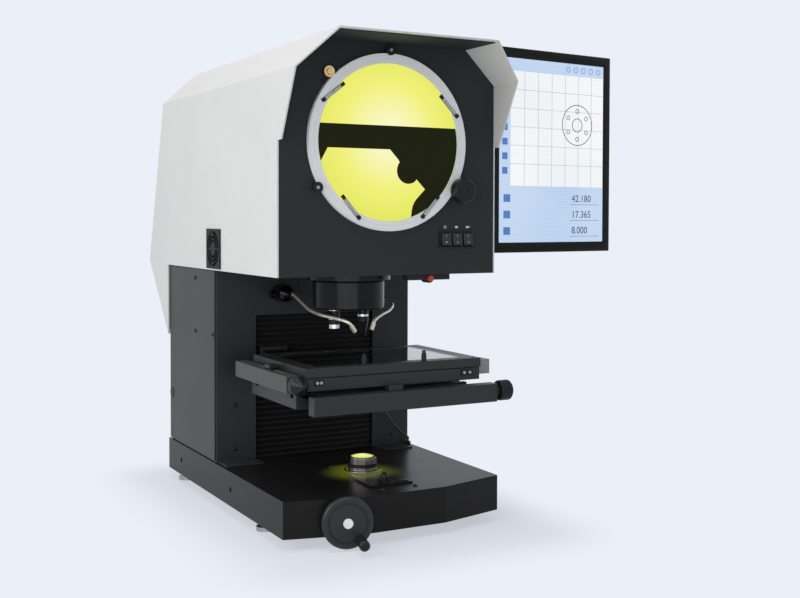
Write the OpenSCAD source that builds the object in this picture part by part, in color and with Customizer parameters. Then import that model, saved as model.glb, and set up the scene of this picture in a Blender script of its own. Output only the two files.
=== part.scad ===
// Optical comparator: bench-top profile projector with lifting stage, folded hood and round screen.
// Millimetres. +X right, +Y back, +Z up, origin on the bench at the centre of the four feet.

/* [Hood] */
// Width across the hood sides
hood_width = 472; // [468:2:480]
// Clearance from the screen ring up to the hood roof
roof_clear = 24; // [22:1:34]
// Thickness of the folded hood sheet
sheet = 3; // [2.5:0.5:3.5]

/* [Screen] */
// Diameter of the screen that can be seen
screen_dia = 300; // [292:2:302]
// Width of the ring round the screen
ring_width = 19; // [18:0.5:20]
// Diameter of the screen drive knob
screen_knob_dia = 48; // [42:1:50]

/* [Base] */
// Width of the base
base_width = 466; // [460:2:476]
// Height of the base top above the bench
base_top = 92; // [91:1:94]
// Diameter of the handwheel
wheel_dia = 96; // [90:1:98]
// Length of the crank grip
grip_length = 46; // [40:1:50]

/* [Stage] */
// Width of the stage frame
stage_width = 384; // [380:2:386]
// Depth of the stage frame
stage_depth = 260; // [256:2:264]
// Thickness of the stage glass
glass_thick = 6; // [5:0.5:7]
// Diameter of the X knob
x_knob_dia = 40; // [34:1:40]
// Diameter of the Y knob
y_knob_dia = 36; // [30:1:36]

/* [Turret and guides] */
// Diameter of the lens turret
turret_dia = 144; // [140:1:146]
// Diameter of the light guide tubes
guide_dia = 7; // [6:0.5:7.5]

/* [Monitor] */
// Width of the monitor case
monitor_width = 334; // [326:2:336]
// Height of the monitor case
monitor_height = 424; // [410:2:436]
// Depth of the monitor case
monitor_depth = 42; // [38:1:42]

/* [Hidden] */
$fn = 96;
gap = 0.3;
run = 0.06;

hood_half = hood_width / 2;
head_z = 499;
screen_x = -9;
screen_z = head_z + 254;
screen_r = screen_dia / 2;
ring_r = screen_r + ring_width;
hood_top = screen_z + ring_r + roof_clear;
shoulder_drop = 70;
shoulder_z = hood_top - shoulder_drop;
roof_half = hood_half - shoulder_drop;
panel_y = -380;
panel_thick = 4;
jog_z = 751;
jog_y = panel_y - 17;
visor_y = panel_y - 120;
roof_back_y = 300;
rear_y = 435;
rear_z = 505;
skirt_y = 286;
skirt_z = 337;
back_slope = (rear_y - roof_back_y) / (hood_top - rear_z);
back_skin = sheet * sqrt(1 + back_slope * back_slope);
skirt_slope = (rear_y - skirt_y) / (rear_z - skirt_z);
skirt_skin = sheet * sqrt(1 + skirt_slope * skirt_slope);
inner_roof = hood_top - sheet;
inner_back_y = roof_back_y + (hood_top - inner_roof) * back_slope - back_skin;
inner_rear_z = (roof_back_y + hood_top * back_slope - back_skin - rear_y + rear_z * skirt_slope
    + skirt_skin) / (back_slope + skirt_slope);
inner_rear_y = roof_back_y + (hood_top - inner_rear_z) * back_slope - back_skin;
front_far = 200;

axis_x = 4;
axis_y = panel_y + 130;

ring_front = panel_y - 11;
ring_back = panel_y - 1;
spigot_r = screen_r + 7.5;
screen_seat_r = screen_r + 4.3;
screen_glass_r = screen_r + 4;
stud_r = 3;
roller_r = 6;
roller_flange_r = 10;
roller_at = ring_r + roller_r + gap;
drive_r = 10.7;
drive_at = ring_r + drive_r + gap;
encoder_r = 10.5;
encoder_at = ring_r + encoder_r + gap;
top_angle = 90;
left_angle = 210;
drive_angle = 330;
encoder_angle = 135;
clip_length = 58;

switch_x = hood_half - 90.5;
switch_z = 567;
button_x = hood_half - 139;
switch_pitch = 25.3;
rocker_width = 21;
rocker_tilt = 7;
rocker_y = panel_y - 1;

fan_y = -36.5;
fan_z = 544;
fan_bore_r = 38.2;

base_bottom = 22;
base_wall = 6;
base_half = base_width / 2;
base_back = 290;
corner_y = panel_y - 20;
bow_y = panel_y - 56;
bow_half = 90;
bow_angle = atan((corner_y - bow_y) / (base_half - bow_half));
feet_x = base_half - 28;
feet_front = -245;
feet_back = 245;
foot_r = 18;
lift_hole_r = 6;
lift_hole_z = 56;
lift_hole_back = 197;
lift_hole_front = -125;

cover_thick = 3;
gland_x = base_half - 10;

screw_x = 0;
screw_y = 51;
screw_r = 10;
wheel_z = 52;
wheel_facet_x = screw_x - (screw_y - bow_y) * tan(bow_angle);
facet_x = (wheel_facet_x + bow_half * tan(bow_angle) * tan(bow_angle) * -1)
    / (1 + tan(bow_angle) * tan(bow_angle));
facet_y = bow_y + (-bow_half - facet_x) * tan(bow_angle);
shaft_r = 8;
shaft_run = sqrt(pow(screw_x - facet_x, 2) + pow(screw_y - facet_y, 2));
wheel_out = 27;
wheel_r = wheel_dia / 2;
crank_at = wheel_r - 10;
crank_angle = 55;
hub_r = 9.2;
grip_r = 10;
grip_bore = 4;

column_half = base_half - cover_thick - 0.5;
column_front = -30;
column_back = 284;
plate_back = column_front + 6;
bellows_half = 138;
opening_half = 140;
opening_top = 400;
web_y = 86;
way_x = 100;
way_y = 70;

neck_front = -46;
neck_low = 244;
neck_high = 286;
bellows_pitch = 12;

stage_x = 8;
stage_y = axis_y - 8;
stage_top = 330;
stage_half = stage_width / 2;
stage_reach = stage_depth / 2;
frame_low = 312;
slide_low = 287;
slide_high = 311;
glass_half = 158;
glass_reach = 104;
bracket_high = 278;
bracket_low = 250;
bracket_half = 188;
bracket_back = axis_y + 120;
x_way_front = axis_y - 85;
x_way_back = axis_y + 95;
y_way = 174;
bar_left = stage_x - stage_half - 31;
bar_right = stage_x - stage_half - 6;
y_knob_x = stage_x - stage_half - 1 - y_knob_dia / 2;
y_knob_z = 302;
x_bar_front = panel_y - 32;
x_bar_back = panel_y - 6;
x_bar_right = 225;
x_knob_z = 263;
x_knob_y = panel_y - 19;

turret_x = axis_x - 32;
turret_low = 428;
flange_low = head_z - 13;
lens_r = 11.5;
lens_stem_r = 10.5;
turret_r = turret_dia / 2;
ball_x = 85;
ball_y = -60;
ball_z = 447;
ball_r = 18;
guide_r = guide_dia / 2;
left_route = [[-85, -60, 447], [-76, -80, 446], [-76, -120, 434], [-86, -190, 421.5], [-90, -250, 416.5],
    [-83, -305, 413.5], [-71, -324, 409], [-61, -328, 402], [-53, -326, 391]];
right_route = [[85, -60, 447], [100, -84, 447], [107, -140, 439], [98, -190, 434], [83, -230, 428],
    [54, -270, 422], [20, -302, 417], [-4, -318, 407], [-11, -321, 393]];

lamp_half = 52;
barrel_r = 29;
tilt_z = 75;
trunnion_r = 4;

monitor_x = 412;
monitor_y = panel_y + 42;
monitor_z = 750;
monitor_yaw = 6;
swing_x = hood_half + 28;
swing_y = -200;
swing_pin_r = 6;
tilt_back = monitor_depth + 18;
tilt_pin_r = 5;

cable_r = 2.2;
cable_route = [[120, -66, 241.6], [120, -66, 238], [120, -66, 233], [127, -63.5, 217], [144, -60, 193],
    [gland_x - 55, -55, 161], [gland_x - 31, -50, 134], [gland_x - 9, -46.5, 116],
    [gland_x, neck_front, base_top + 17], [gland_x, neck_front, base_top + 12.5],
    [gland_x, neck_front, base_top + 8.4]];

// A box between two corners
module block(x0, x1, y0, y1, z0, z1) {
    translate([x0, y0, z0])
        cube([x1 - x0, y1 - y0, z1 - z0]);
}

// A round bar along Y from y0 to y1
module bar_y(x, z, r, y0, y1) {
    translate([x, y0, z])
        rotate([-90, 0, 0])
            cylinder(r = r, h = y1 - y0);
}

// A round bar along X from x0 to x1
module bar_x(y, z, r, x0, x1) {
    translate([x0, y, z])
        rotate([0, 90, 0])
            cylinder(r = r, h = x1 - x0);
}

// A round bar along Z from z0 to z1
module bar_z(x, y, r, z0, z1) {
    translate([x, y, z0])
        cylinder(r = r, h = z1 - z0);
}

// A profile in Y and Z, drawn along X from -half to half
module along_x(points, half) {
    translate([-half, 0, 0])
        rotate([90, 0, 90])
            linear_extrude(height = 2 * half)
                polygon(points);
}

// A profile in X and Z, drawn along Y from y0 to y1
module along_y(points, y0, y1) {
    translate([0, y1, 0])
        rotate([90, 0, 0])
            linear_extrude(height = y1 - y0)
                polygon(points);
}

// Turns the drawing so that local -Y points out of the handwheel's facet
module on_wheel_axis() {
    translate([facet_x, facet_y, wheel_z])
        rotate([0, 0, -bow_angle])
            children();
}

// A point of the screen's plane at an angle and a radius
function at_screen(angle, r) = [screen_x + r * cos(angle), screen_z + r * sin(angle)];

// Smooth tube through a list of points
function unit(v) = v / norm(v);
function bend(p, i, t) = 0.5 * (2 * p[i] + t * (p[min(i + 1, len(p) - 1)] - p[max(i - 1, 0)])
    + t * t * (2 * p[max(i - 1, 0)] - 5 * p[i] + 4 * p[min(i + 1, len(p) - 1)] - p[min(i + 2, len(p) - 1)])
    + t * t * t * (3 * p[i] - p[max(i - 1, 0)] - 3 * p[min(i + 1, len(p) - 1)] + p[min(i + 2,
        len(p) - 1)]));
function smooth(p, n) = concat([for (i = [0 : len(p) - 2]) for (k = [0 : n - 1]) bend(p, i, k / n)],
    [p[len(p) - 1]]);

module tube(route, r, sides, steps) {
    q = smooth(route, steps);
    m = len(q);
    rings = [for (i = [0 : m - 1])
        let (d = unit(q[min(i + 1, m - 1)] - q[max(i - 1, 0)]))
        let (a = unit(cross(d, [0.31, 0.17, 0.93])))
        let (b = cross(d, a))
        for (k = [0 : sides - 1]) q[i] + r * (cos(k * 360 / sides) * a + sin(k * 360 / sides) * b)];
    walls = [for (i = [0 : m - 2]) for (k = [0 : sides - 1])
        [i * sides + k, (i + 1) * sides + k, (i + 1) * sides + (k + 1) % sides,
            i * sides + (k + 1) % sides]];
    first = [[for (k = [0 : sides - 1]) k]];
    last = [[for (k = [0 : sides - 1]) (m - 1) * sides + sides - 1 - k]];
    polyhedron(points = rings, faces = concat(walls, first, last));
}

// Plan of the base, set in by a wall
function base_plan(inset) = [[-base_half + inset, base_back - inset], [-base_half + inset,
    corner_y + inset],
    [-bow_half, bow_y + inset], [bow_half, bow_y + inset], [base_half - inset, corner_y + inset],
    [base_half - inset, base_back - inset]];

module base_casting() {
    color([0.12, 0.12, 0.13])
        difference() {
            union() {
                difference() {
                    translate([0, 0, base_bottom])
                        linear_extrude(height = base_top - base_bottom)
                            polygon(base_plan(0));
                    translate([0, 0, base_bottom - 1])
                        linear_extrude(height = base_top - base_bottom + 1 - base_wall)
                            polygon(base_plan(base_wall));
                }
                for (sx = [-1, 1])
                    for (y = [feet_front, feet_back])
                        bar_z(sx * feet_x, y, foot_r - 2, base_bottom, base_top - 1);
                on_wheel_axis()
                    bar_y(0, 0, shaft_r + 8, 1, 26);
                bar_z(gland_x, neck_front, 6, base_top - 2, base_top + 8);
            }
            bar_z(axis_x, axis_y, barrel_r + 7, base_top - 20, base_top + 5);
            bar_z(screw_x, screw_y, screw_r + 4, base_top - 20, base_top + 5);
            on_wheel_axis()
                bar_y(0, 0, shaft_r + run, -5, 40);
            for (y = [lift_hole_front, lift_hole_back]) {
                bar_x(y, lift_hole_z, lift_hole_r, -base_half - 1, -base_half + base_wall + 1);
                bar_x(y, lift_hole_z, lift_hole_r, base_half - base_wall - 1, base_half + 1);
            }
        }
}

module levelling_feet() {
    color([0.72, 0.73, 0.74])
        for (sx = [-1, 1])
            for (y = [feet_front, feet_back]) {
                translate([sx * feet_x, y, 0])
                    union() {
                        cylinder(r = foot_r, h = 8);
                        cylinder(r = 6, h = base_bottom);
                        translate([0, 0, base_bottom - 8])
                            cylinder(r = 11, h = 8, $fn = 6);
                    }
            }
}

module illuminator_plate() {
    color([0.1, 0.1, 0.11])
        difference() {
            union() {
                block(axis_x - 45, axis_x + 45, panel_y + 1, panel_y + 196, base_top, base_top + 3.5);
                bar_z(axis_x, axis_y, barrel_r + 8, base_top, base_top + 6);
            }
            bar_z(axis_x, axis_y, barrel_r + 4.5, base_top - 1, base_top + 10);
        }
}

module lamp_house() {
    color([0.35, 0.36, 0.38])
        difference() {
            block(axis_x - lamp_half, axis_x + lamp_half, axis_y - lamp_half, axis_y + lamp_half,
                base_bottom + 6, base_top - base_wall);
            bar_z(axis_x, axis_y, barrel_r + 7, 45, base_top);
            bar_y(axis_x, tilt_z, trunnion_r + run, axis_y - 48, axis_y + 48);
        }
}

module condenser_barrel() {
    color([0.08, 0.08, 0.09])
        difference() {
            union() {
                bar_z(axis_x, axis_y, barrel_r, 60, 124);
                bar_z(axis_x, axis_y, barrel_r - 2, 60, 126);
                bar_y(axis_x, tilt_z, trunnion_r, axis_y - 47, axis_y + 47);
            }
            bar_z(axis_x, axis_y, barrel_r - 6, 84, 140);
        }
}

module condenser_lens() {
    color([0.9, 0.95, 0.6])
        intersection() {
            bar_z(axis_x, axis_y, barrel_r - 6.2, 112, 135);
            translate([axis_x, axis_y, 71])
                sphere(r = 58);
        }
}

module helix_lever() {
    color([0.2, 0.2, 0.21])
        union() {
            difference() {
                bar_z(axis_x, axis_y, barrel_r + 1.5, 106, 113);
                bar_z(axis_x, axis_y, barrel_r + 0.1, 105, 114);
            }
            bar_y(axis_x, 109.5, 2.5, axis_y + barrel_r + 0.6, axis_y + 58);
            bar_y(axis_x, 109.5, 5, axis_y + 56, axis_y + 68);
        }
}

module handwheel() {
    color([0.15, 0.15, 0.16])
        on_wheel_axis()
            union() {
                difference() {
                    rotate([90, 0, 0])
                        rotate_extrude()
                            polygon([[shaft_r + 0.1, 2], [16, 2], [18, 12], [wheel_r - 12, 15],
                                [wheel_r - 2, 12], [wheel_r, 15], [wheel_r, wheel_out - 3],
                                [wheel_r - 3, wheel_out],
                                [wheel_r - 10, wheel_out], [wheel_r - 11, wheel_out - 1.5],
                                [wheel_r - 13, wheel_out - 1.5], [wheel_r - 14, wheel_out],
                                [hub_r + 0.2, wheel_out],
                                [hub_r + 0.2, wheel_out - 2], [shaft_r + 0.1, wheel_out - 2]]);
                }
                rotate([0, crank_angle, 0])
                    bar_y(crank_at, 0, grip_bore, -wheel_out - grip_length + 2, -wheel_out + 4);
            }
}

module handwheel_shaft() {
    color([0.7, 0.7, 0.72])
        on_wheel_axis()
            bar_y(0, 0, shaft_r, -wheel_out + 2, shaft_run - 14);
}

module hub_cap() {
    color([0.93, 0.93, 0.91])
        on_wheel_axis()
            bar_y(0, 0, hub_r, -wheel_out - 1.5, -wheel_out + 2);
}

module crank_grip() {
    color([0.07, 0.07, 0.08])
        on_wheel_axis()
            rotate([0, crank_angle, 0])
                translate([crank_at, -wheel_out - gap, 0])
                    rotate([90, 0, 0])
                        difference() {
                            rotate_extrude()
                                polygon([[0, 0], [grip_r - 2, 0], [grip_r - 0.6, 3], [grip_r,
                                    grip_length - 14],
                                    [grip_r, grip_length - 4], [grip_r - 3, grip_length], [0,
                                    grip_length]]);
                            translate([0, 0, -1])
                                cylinder(r = grip_bore + run, h = grip_length);
                        }
}

module lift_gearbox() {
    color([0.4, 0.41, 0.42])
        difference() {
            block(screw_x - 34, screw_x + 34, screw_y - 34, screw_y + 34, 32, base_top - base_wall);
            bar_z(screw_x, screw_y, screw_r + run, 42, base_top);
            on_wheel_axis()
                bar_y(0, 0, shaft_r + run, shaft_run - 60, shaft_run - 13);
        }
}

module lift_screw() {
    color([0.75, 0.75, 0.76])
        bar_z(screw_x, screw_y, screw_r, 42.3, 484);
}

module column_frame() {
    color([0.16, 0.16, 0.17])
        difference() {
            union() {
                difference() {
                    block(-column_half, column_half, column_front, plate_back, base_top, head_z);
                    block(-opening_half, opening_half, column_front - 1, plate_back + 1, base_top - 1,
                        opening_top);
                }
                for (s = [-1, 1]) {
                    block(s * column_half - (s + 1) * 8, s * column_half - (s - 1) * 8, column_front,
                        column_back - 9, base_top, head_z);
                    block(s * way_x - 12, s * way_x + 12, way_y, web_y + 1, base_top, head_z);
                }
                block(-column_half + 4, column_half - 4, web_y, web_y + 20, base_top, head_z);
                block(-column_half + 3, -opening_half - 3, column_front - 54, plate_back, base_top,
                    base_top + 3);
                block(opening_half + 3, gland_x - 9, column_front - 54, plate_back, base_top, base_top + 3);
                block(-30, 30, screw_y - 22, web_y + 1, 470, 486);
            }
            bar_z(screw_x, screw_y, screw_r + run, 460, 490);
        }
}

module column_side_covers() {
    color([0.3, 0.3, 0.3])
        for (s = [-1, 1])
            translate([s * (column_half + cover_thick / 2) - cover_thick / 2, column_front + 3,
                base_top + 4])
                cube([cover_thick, column_back - column_front - 6, head_z - base_top - 6]);
}

module column_rear_cover() {
    color([0.2, 0.2, 0.21])
        difference() {
            block(-column_half, column_half, column_back - 9, column_back, base_top + 4, head_z - 2);
            block(90, 138, column_back - 10, column_back + 1, 112, 142);
        }
}

// One pleated cover between two heights
module pleats(low, high) {
    count = max(2, round((high - low) / bellows_pitch));
    step = (high - low) / count;
    front = [for (i = [0 : count - 1]) for (k = [0, 1])
        [column_front + (k == 0 ? 13 : 2), low + (i + k / 2) * step]];
    back = [for (i = [count - 1 : -1 : 0]) for (k = [1, 0])
        [column_front + (k == 0 ? 17 : 6), low + (i + k / 2) * step]];
    along_x(concat(front, [[column_front + 13, high], [column_front + 17, high]], back), bellows_half);
}

module bellows_upper() {
    color([0.1, 0.1, 0.1])
        pleats(neck_high, opening_top);
}

module bellows_lower() {
    color([0.1, 0.1, 0.1])
        pleats(base_top, neck_low);
}

module lift_carriage() {
    color([0.22, 0.22, 0.23])
        difference() {
            union() {
                block(-134, 134, neck_front, -7, neck_low, neck_high);
                block(-134, -124, neck_front, neck_front + 7, neck_high - 1, 334);
                bar_x(neck_front + 1, 329, 6, -132, -80);
                bar_x(neck_front + 1, 329, 8, -82, -77);
                block(-128, 128, -8, way_y - gap, 215, 315);
                for (s = [-1, 1]) {
                    block(s * way_x - 26, s * way_x - 12 - gap, way_y - 2, web_y - gap, 215, 315);
                    block(s * way_x + 12 + gap, s * way_x + 26, way_y - 2, web_y - gap, 215, 315);
                }
            }
            bar_z(screw_x, screw_y, screw_r + run, 200, 330);
        }
}

module stage_bracket() {
    color([0.17, 0.17, 0.18])
        difference() {
            union() {
                block(-bracket_half, bracket_half, panel_y + 25, bracket_back, bracket_low, bracket_high);
                block(-134, 134, bracket_back - 1, neck_front, bracket_low, bracket_high);
                block(-120, 120, x_bar_back, panel_y + 26, bracket_low + 2, bracket_high - 8);
                bar_z(120, -66, 6, 242, bracket_low + 1);
            }
            block(axis_x - 62, axis_x + 62, axis_y - 60, axis_y + 60, bracket_low - 1, bracket_high + 1);
            for (y = [x_way_front, x_way_back])
                block(-bracket_half - 1, bracket_half + 1, y - 7 - gap, y + 7 + gap, bracket_high - 8,
                    bracket_high + 1);
        }
}

module x_drive_housing() {
    color([0.15, 0.15, 0.15])
        difference() {
            block(-176, x_bar_right, x_bar_front, x_bar_back, 243, 279);
            block(-122, 122, x_bar_front + 9, x_bar_front + 15, 268, 280);
            bar_x(x_knob_y, x_knob_z, 5 + run, x_bar_right - 42, x_bar_right + 1);
        }
}

module x_knob() {
    color([0.08, 0.08, 0.09])
        translate([x_bar_right + gap, x_knob_y, x_knob_z])
            rotate([0, 90, 0])
                rotate_extrude()
                    polygon([[0, -40], [5, -40], [5, 0], [12, 0], [12, 8], [x_knob_dia / 2 - 1, 8],
                        [x_knob_dia / 2, 10], [x_knob_dia / 2, 32], [x_knob_dia / 2 - 3, 35], [0, 35]]);
}

module x_slide() {
    color([0.16, 0.16, 0.17])
        difference() {
            union() {
                block(bar_right, stage_x + stage_half - 2, panel_y - 6, panel_y + 250, slide_low,
                    slide_high);
                for (y = [x_way_front, x_way_back])
                    block(-150, 160, y - 7, y + 7, bracket_high - 8 + gap, slide_low + 1);
                block(-15, 15, x_bar_front + 10, panel_y, 281, slide_low + 3);
                block(-15, 15, x_bar_front + 10, x_bar_front + 14, 269, 282);
            }
            block(-140, 148, axis_y - 60, axis_y + 60, slide_low - 1, slide_high + 1);
            for (s = [-1, 1])
                block(stage_x + s * y_way - 7 - gap, stage_x + s * y_way + 7 + gap, stage_y - 118,
                    panel_y + 251,
                    slide_high - 8, slide_high + 1);
        }
}

module y_drive_housing() {
    color([0.35, 0.35, 0.34])
        difference() {
            block(bar_left, bar_right, panel_y + 6, panel_y + 274, 284, 316);
            block(bar_left + 9, bar_left + 17, stage_y - 66, stage_y + 66, 306, 317);
            bar_y(y_knob_x, y_knob_z, 4 + run, panel_y + 5, panel_y + 40);
        }
}

module y_knob() {
    color([0.08, 0.08, 0.09])
        translate([y_knob_x, panel_y + 6 - gap, y_knob_z])
            rotate([90, 0, 0])
                rotate_extrude()
                    polygon([[0, -30], [4, -30], [4, 0], [10.5, 0], [10.5, 6], [12, 6], [12, 12],
                        [10.5, 12], [10.5, 19],
                        [y_knob_dia / 2 - 1, 19], [y_knob_dia / 2, 21], [y_knob_dia / 2, 33],
                        [y_knob_dia / 2 - 1.5, 35], [4.5, 51.5], [2.5, 53], [0, 53]]);
}

module stage_frame() {
    color([0.14, 0.14, 0.15])
        difference() {
            union() {
                block(stage_x - stage_half, stage_x + stage_half, stage_y - stage_reach,
                    stage_y + stage_reach,
                    frame_low, stage_top);
                for (s = [-1, 1])
                    block(stage_x + s * y_way - 7, stage_x + s * y_way + 7, stage_y - 64, stage_y + 64,
                        slide_high - 8 + gap, frame_low + 1);
                block(bar_left + 8, stage_x - stage_half + 1, stage_y - 12, stage_y + 12, 318, 325);
                block(bar_left + 10, bar_left + 16, stage_y - 12, stage_y + 12, 308, 319);
            }
            block(stage_x - glass_half, stage_x + glass_half, stage_y - glass_reach, stage_y + glass_reach,
                stage_top - glass_thick, stage_top + 1);
            block(stage_x - glass_half + 5, stage_x + glass_half - 5, stage_y - glass_reach + 5,
                stage_y + glass_reach - 5, frame_low - 1, stage_top);
        }
}

module stage_glass() {
    color([0.75, 0.85, 0.85, 0.4])
        block(stage_x - glass_half + 0.2, stage_x + glass_half - 0.2, stage_y - glass_reach + 0.2,
            stage_y + glass_reach - 0.2, stage_top - glass_thick, stage_top);
}

module stage_pins() {
    color([0.3, 0.3, 0.31])
        for (x = [-56, 76])
            union() {
                bar_z(x, stage_y - stage_reach + 13, 5, stage_top, stage_top + 14);
                bar_z(x, stage_y - stage_reach + 13, 3.5, stage_top, stage_top + 20);
            }
}

module read_head() {
    color([0.55, 0.55, 0.54])
        block(stage_x + stage_half, stage_x + stage_half + 26, panel_y, panel_y + 30, frame_low - 16,
            stage_top - 5);
}

module head_floor() {
    color([0.2, 0.2, 0.21])
        difference() {
            union() {
                block(-hood_half + sheet, hood_half - sheet, panel_y + panel_thick, 280, head_z,
                    head_z + 5);
                along_x([[-284.3, 514.9], [-228, 585], [-245, 600], [-330, 560], [-330, head_z + 4],
                    [-293, head_z + 4]], 35);
                block(-80, 80, 264, 276, head_z + 4, 700);
                block(button_x - 50, button_x + 46, -360, -340, head_z - 12, head_z + 1);
                bar_y(button_x, head_z - 9, 9, -360, -340);
            }
            bar_z(axis_x, axis_y, 16, head_z - 1, head_z + 6);
            bar_z(turret_x, axis_y, 12 + run, head_z - 1, head_z + 6);
            bar_y(button_x, head_z - 9, 6 + run, -361, -344);
        }
}

// Outline of the hood across the machine, set in by a skin
function hood_section(skin) = [[-hood_half + skin, skirt_z - 20], [-hood_half + skin,
    shoulder_z - 0.41421 * skin],
    [-roof_half + 0.41421 * skin, hood_top - skin], [roof_half - 0.41421 * skin, hood_top - skin],
    [hood_half - skin, shoulder_z - 0.41421 * skin], [hood_half - skin, skirt_z - 20]];

module hood() {
    color([0.85, 0.85, 0.84])
        difference() {
            intersection() {
                along_y(hood_section(0), visor_y - 1, rear_y + 1);
                along_x([[panel_y, head_z], [panel_y, jog_z], [jog_y, jog_z], [visor_y, hood_top],
                    [roof_back_y, hood_top], [rear_y, rear_z], [skirt_y, skirt_z], [skirt_y, head_z]],
                    hood_half + 1);
            }
            intersection() {
                along_y(hood_section(sheet), visor_y - front_far, rear_y + 1);
                along_x([[visor_y - front_far, skirt_z - 40], [visor_y - front_far, inner_roof],
                    [inner_back_y, inner_roof], [inner_rear_y, inner_rear_z],
                    [skirt_y - 1, inner_rear_z - (inner_rear_y - skirt_y + 1) / skirt_slope],
                    [skirt_y - 1, skirt_z - 40]], hood_half + 2);
            }
            bar_x(fan_y, fan_z, fan_bore_r, -hood_half - 1, -hood_half + sheet + 1);
        }
}

module front_panel() {
    color([0.14, 0.14, 0.15])
        difference() {
            union() {
                intersection() {
                    along_y(hood_section(sheet), panel_y, panel_y + panel_thick);
                    block(-hood_half, hood_half, panel_y - 1, panel_y + 10, head_z, hood_top);
                }
                block(-roof_half + 4, roof_half - 4, visor_y + 8, panel_y + 1, inner_roof - 2, inner_roof);
                for (a = [top_angle, left_angle]) {
                    p = at_screen(a, roller_at);
                    bar_y(p[0], p[1], stud_r, ring_front - 3, panel_y + 1);
                    bar_y(p[0], p[1], stud_r + 2, ring_back, panel_y + 1);
                }
                e = at_screen(encoder_angle, encoder_at);
                bar_y(e[0], e[1], stud_r, ring_front - 1, panel_y + 1);
                bar_y(e[0], e[1], stud_r + 2, ring_back, panel_y + 1);
                d = at_screen(drive_angle, drive_at);
                bar_y(d[0], d[1], stud_r, ring_front - 16, panel_y + 1);
                bar_y(d[0], d[1], stud_r + 2, ring_back, panel_y + 1);
            }
            bar_y(screen_x, screen_z, spigot_r + 0.5, panel_y - 1, panel_y + panel_thick + 1);
            block(switch_x - 37.5, switch_x + 37.5, panel_y - 1, panel_y + panel_thick + 1, switch_z - 15,
                switch_z + 15);
        }
}

module mirrors() {
    color([0.8, 0.85, 0.88])
        union() {
            along_x([[-278.1, 509.9], [-221.8, 580], [-228, 585], [-284.3, 514.9]], 32);
            block(-115, 115, 256, 264, 545, 775);
        }
}

module switch_bezel() {
    color([0.12, 0.12, 0.12])
        difference() {
            union() {
                block(switch_x - 40, switch_x + 40, panel_y - 3, panel_y, switch_z - 17, switch_z + 17);
                block(switch_x - 37.3, switch_x + 37.3, panel_y - 1, panel_y + 20, switch_z - 14.8,
                    switch_z + 14.8);
            }
            for (i = [-1, 0, 1]) {
                x = switch_x + i * switch_pitch;
                block(x - rocker_width / 2 - gap, x + rocker_width / 2 + gap, panel_y - 4, panel_y + 14,
                    switch_z - 14, switch_z + 14);
            }
            bar_x(rocker_y, switch_z, 1.5 + run, switch_x - 36.9, switch_x + 36.9);
        }
}

// One rocker in its off position
module rocker(i) {
    x = switch_x + i * switch_pitch;
    translate([x, rocker_y, switch_z])
        rotate([-rocker_tilt, 0, 0])
            union() {
                along_x([[-4.5, 0], [-6, 12], [6, 11], [6, -11], [-6, -12]], rocker_width / 2);
                bar_x(0, 0, 1.5, -rocker_width / 2 - 0.9, rocker_width / 2 + 0.9);
            }
}

module rocker_power() {
    color([0.1, 0.1, 0.1])
        rocker(-1);
}

module rocker_profile() {
    color([0.1, 0.1, 0.1])
        rocker(0);
}

module rocker_surface() {
    color([0.1, 0.1, 0.1])
        rocker(1);
}

module screen_ring() {
    color([0.8, 0.81, 0.81])
        difference() {
            union() {
                bar_y(screen_x, screen_z, ring_r, ring_front, ring_back);
                bar_y(screen_x, screen_z, spigot_r, ring_front, panel_y + 8);
            }
            bar_y(screen_x, screen_z, screen_r, ring_front - 1, panel_y + 9);
            bar_y(screen_x, screen_z, screen_seat_r, ring_front + 2, panel_y + 9);
        }
}

module screen_glass() {
    color([0.9, 0.95, 0.3])
        bar_y(screen_x, screen_z, screen_glass_r, ring_front + 2, ring_front + 7);
}

// One chart clip: its fixed end at an angle on the ring, its free end over the glass
module clip(angle, lean) {
    translate([screen_x, ring_front, screen_z])
        rotate([0, -angle, 0])
            translate([screen_r + 8, 0, 0])
                rotate([0, -lean, 0])
                    union() {
                        block(-4, clip_length - 4, -1.2, 0, -3.5, 3.5);
                        bar_y(0, 0, 4, -3, 0);
                        bar_y(clip_length - 8, 0, 3.5, -2.2, 0);
                    }
}

module chart_clips() {
    color([0.7, 0.7, 0.7])
        union() {
            clip(21, 113);
            clip(152, 246);
            clip(245, 245);
            clip(297, 111);
        }
}

module roller(a) {
    p = at_screen(a, roller_at);
    difference() {
        union() {
            bar_y(p[0], p[1], roller_r, ring_front - 4, ring_back - gap);
            bar_y(p[0], p[1], roller_flange_r, ring_front - 4.5, ring_front - gap);
        }
        bar_y(p[0], p[1], stud_r + run, ring_front - 3.2, ring_back);
    }
}

module roller_top() {
    color([0.1, 0.1, 0.1])
        roller(top_angle);
}

module roller_left() {
    color([0.1, 0.1, 0.1])
        roller(left_angle);
}

module encoder_wheel() {
    e = at_screen(encoder_angle, encoder_at);
    color([0.75, 0.6, 0.35])
        difference() {
            union() {
                bar_y(e[0], e[1], encoder_r, ring_front, ring_back - 2);
                bar_y(e[0], e[1], 5.5, ring_front - 3, ring_back - gap);
            }
            bar_y(e[0], e[1], stud_r + run, ring_front - 1.5, ring_back);
        }
}

module screen_knob() {
    d = at_screen(drive_angle, drive_at);
    color([0.08, 0.08, 0.08])
        translate([d[0], ring_back - gap, d[1]])
            rotate([90, 0, 0])
                difference() {
                    rotate_extrude()
                        polygon([[0, 0], [drive_r, 0], [drive_r, 10], [8, 10], [8, 14],
                            [screen_knob_dia / 2 - 1, 14],
                            [screen_knob_dia / 2, 15], [screen_knob_dia / 2, 31],
                            [screen_knob_dia / 2 - 3, 34],
                            [0, 34]]);
                    translate([0, 0, -1])
                        cylinder(r = stud_r + run, h = 27);
                }
}

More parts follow.
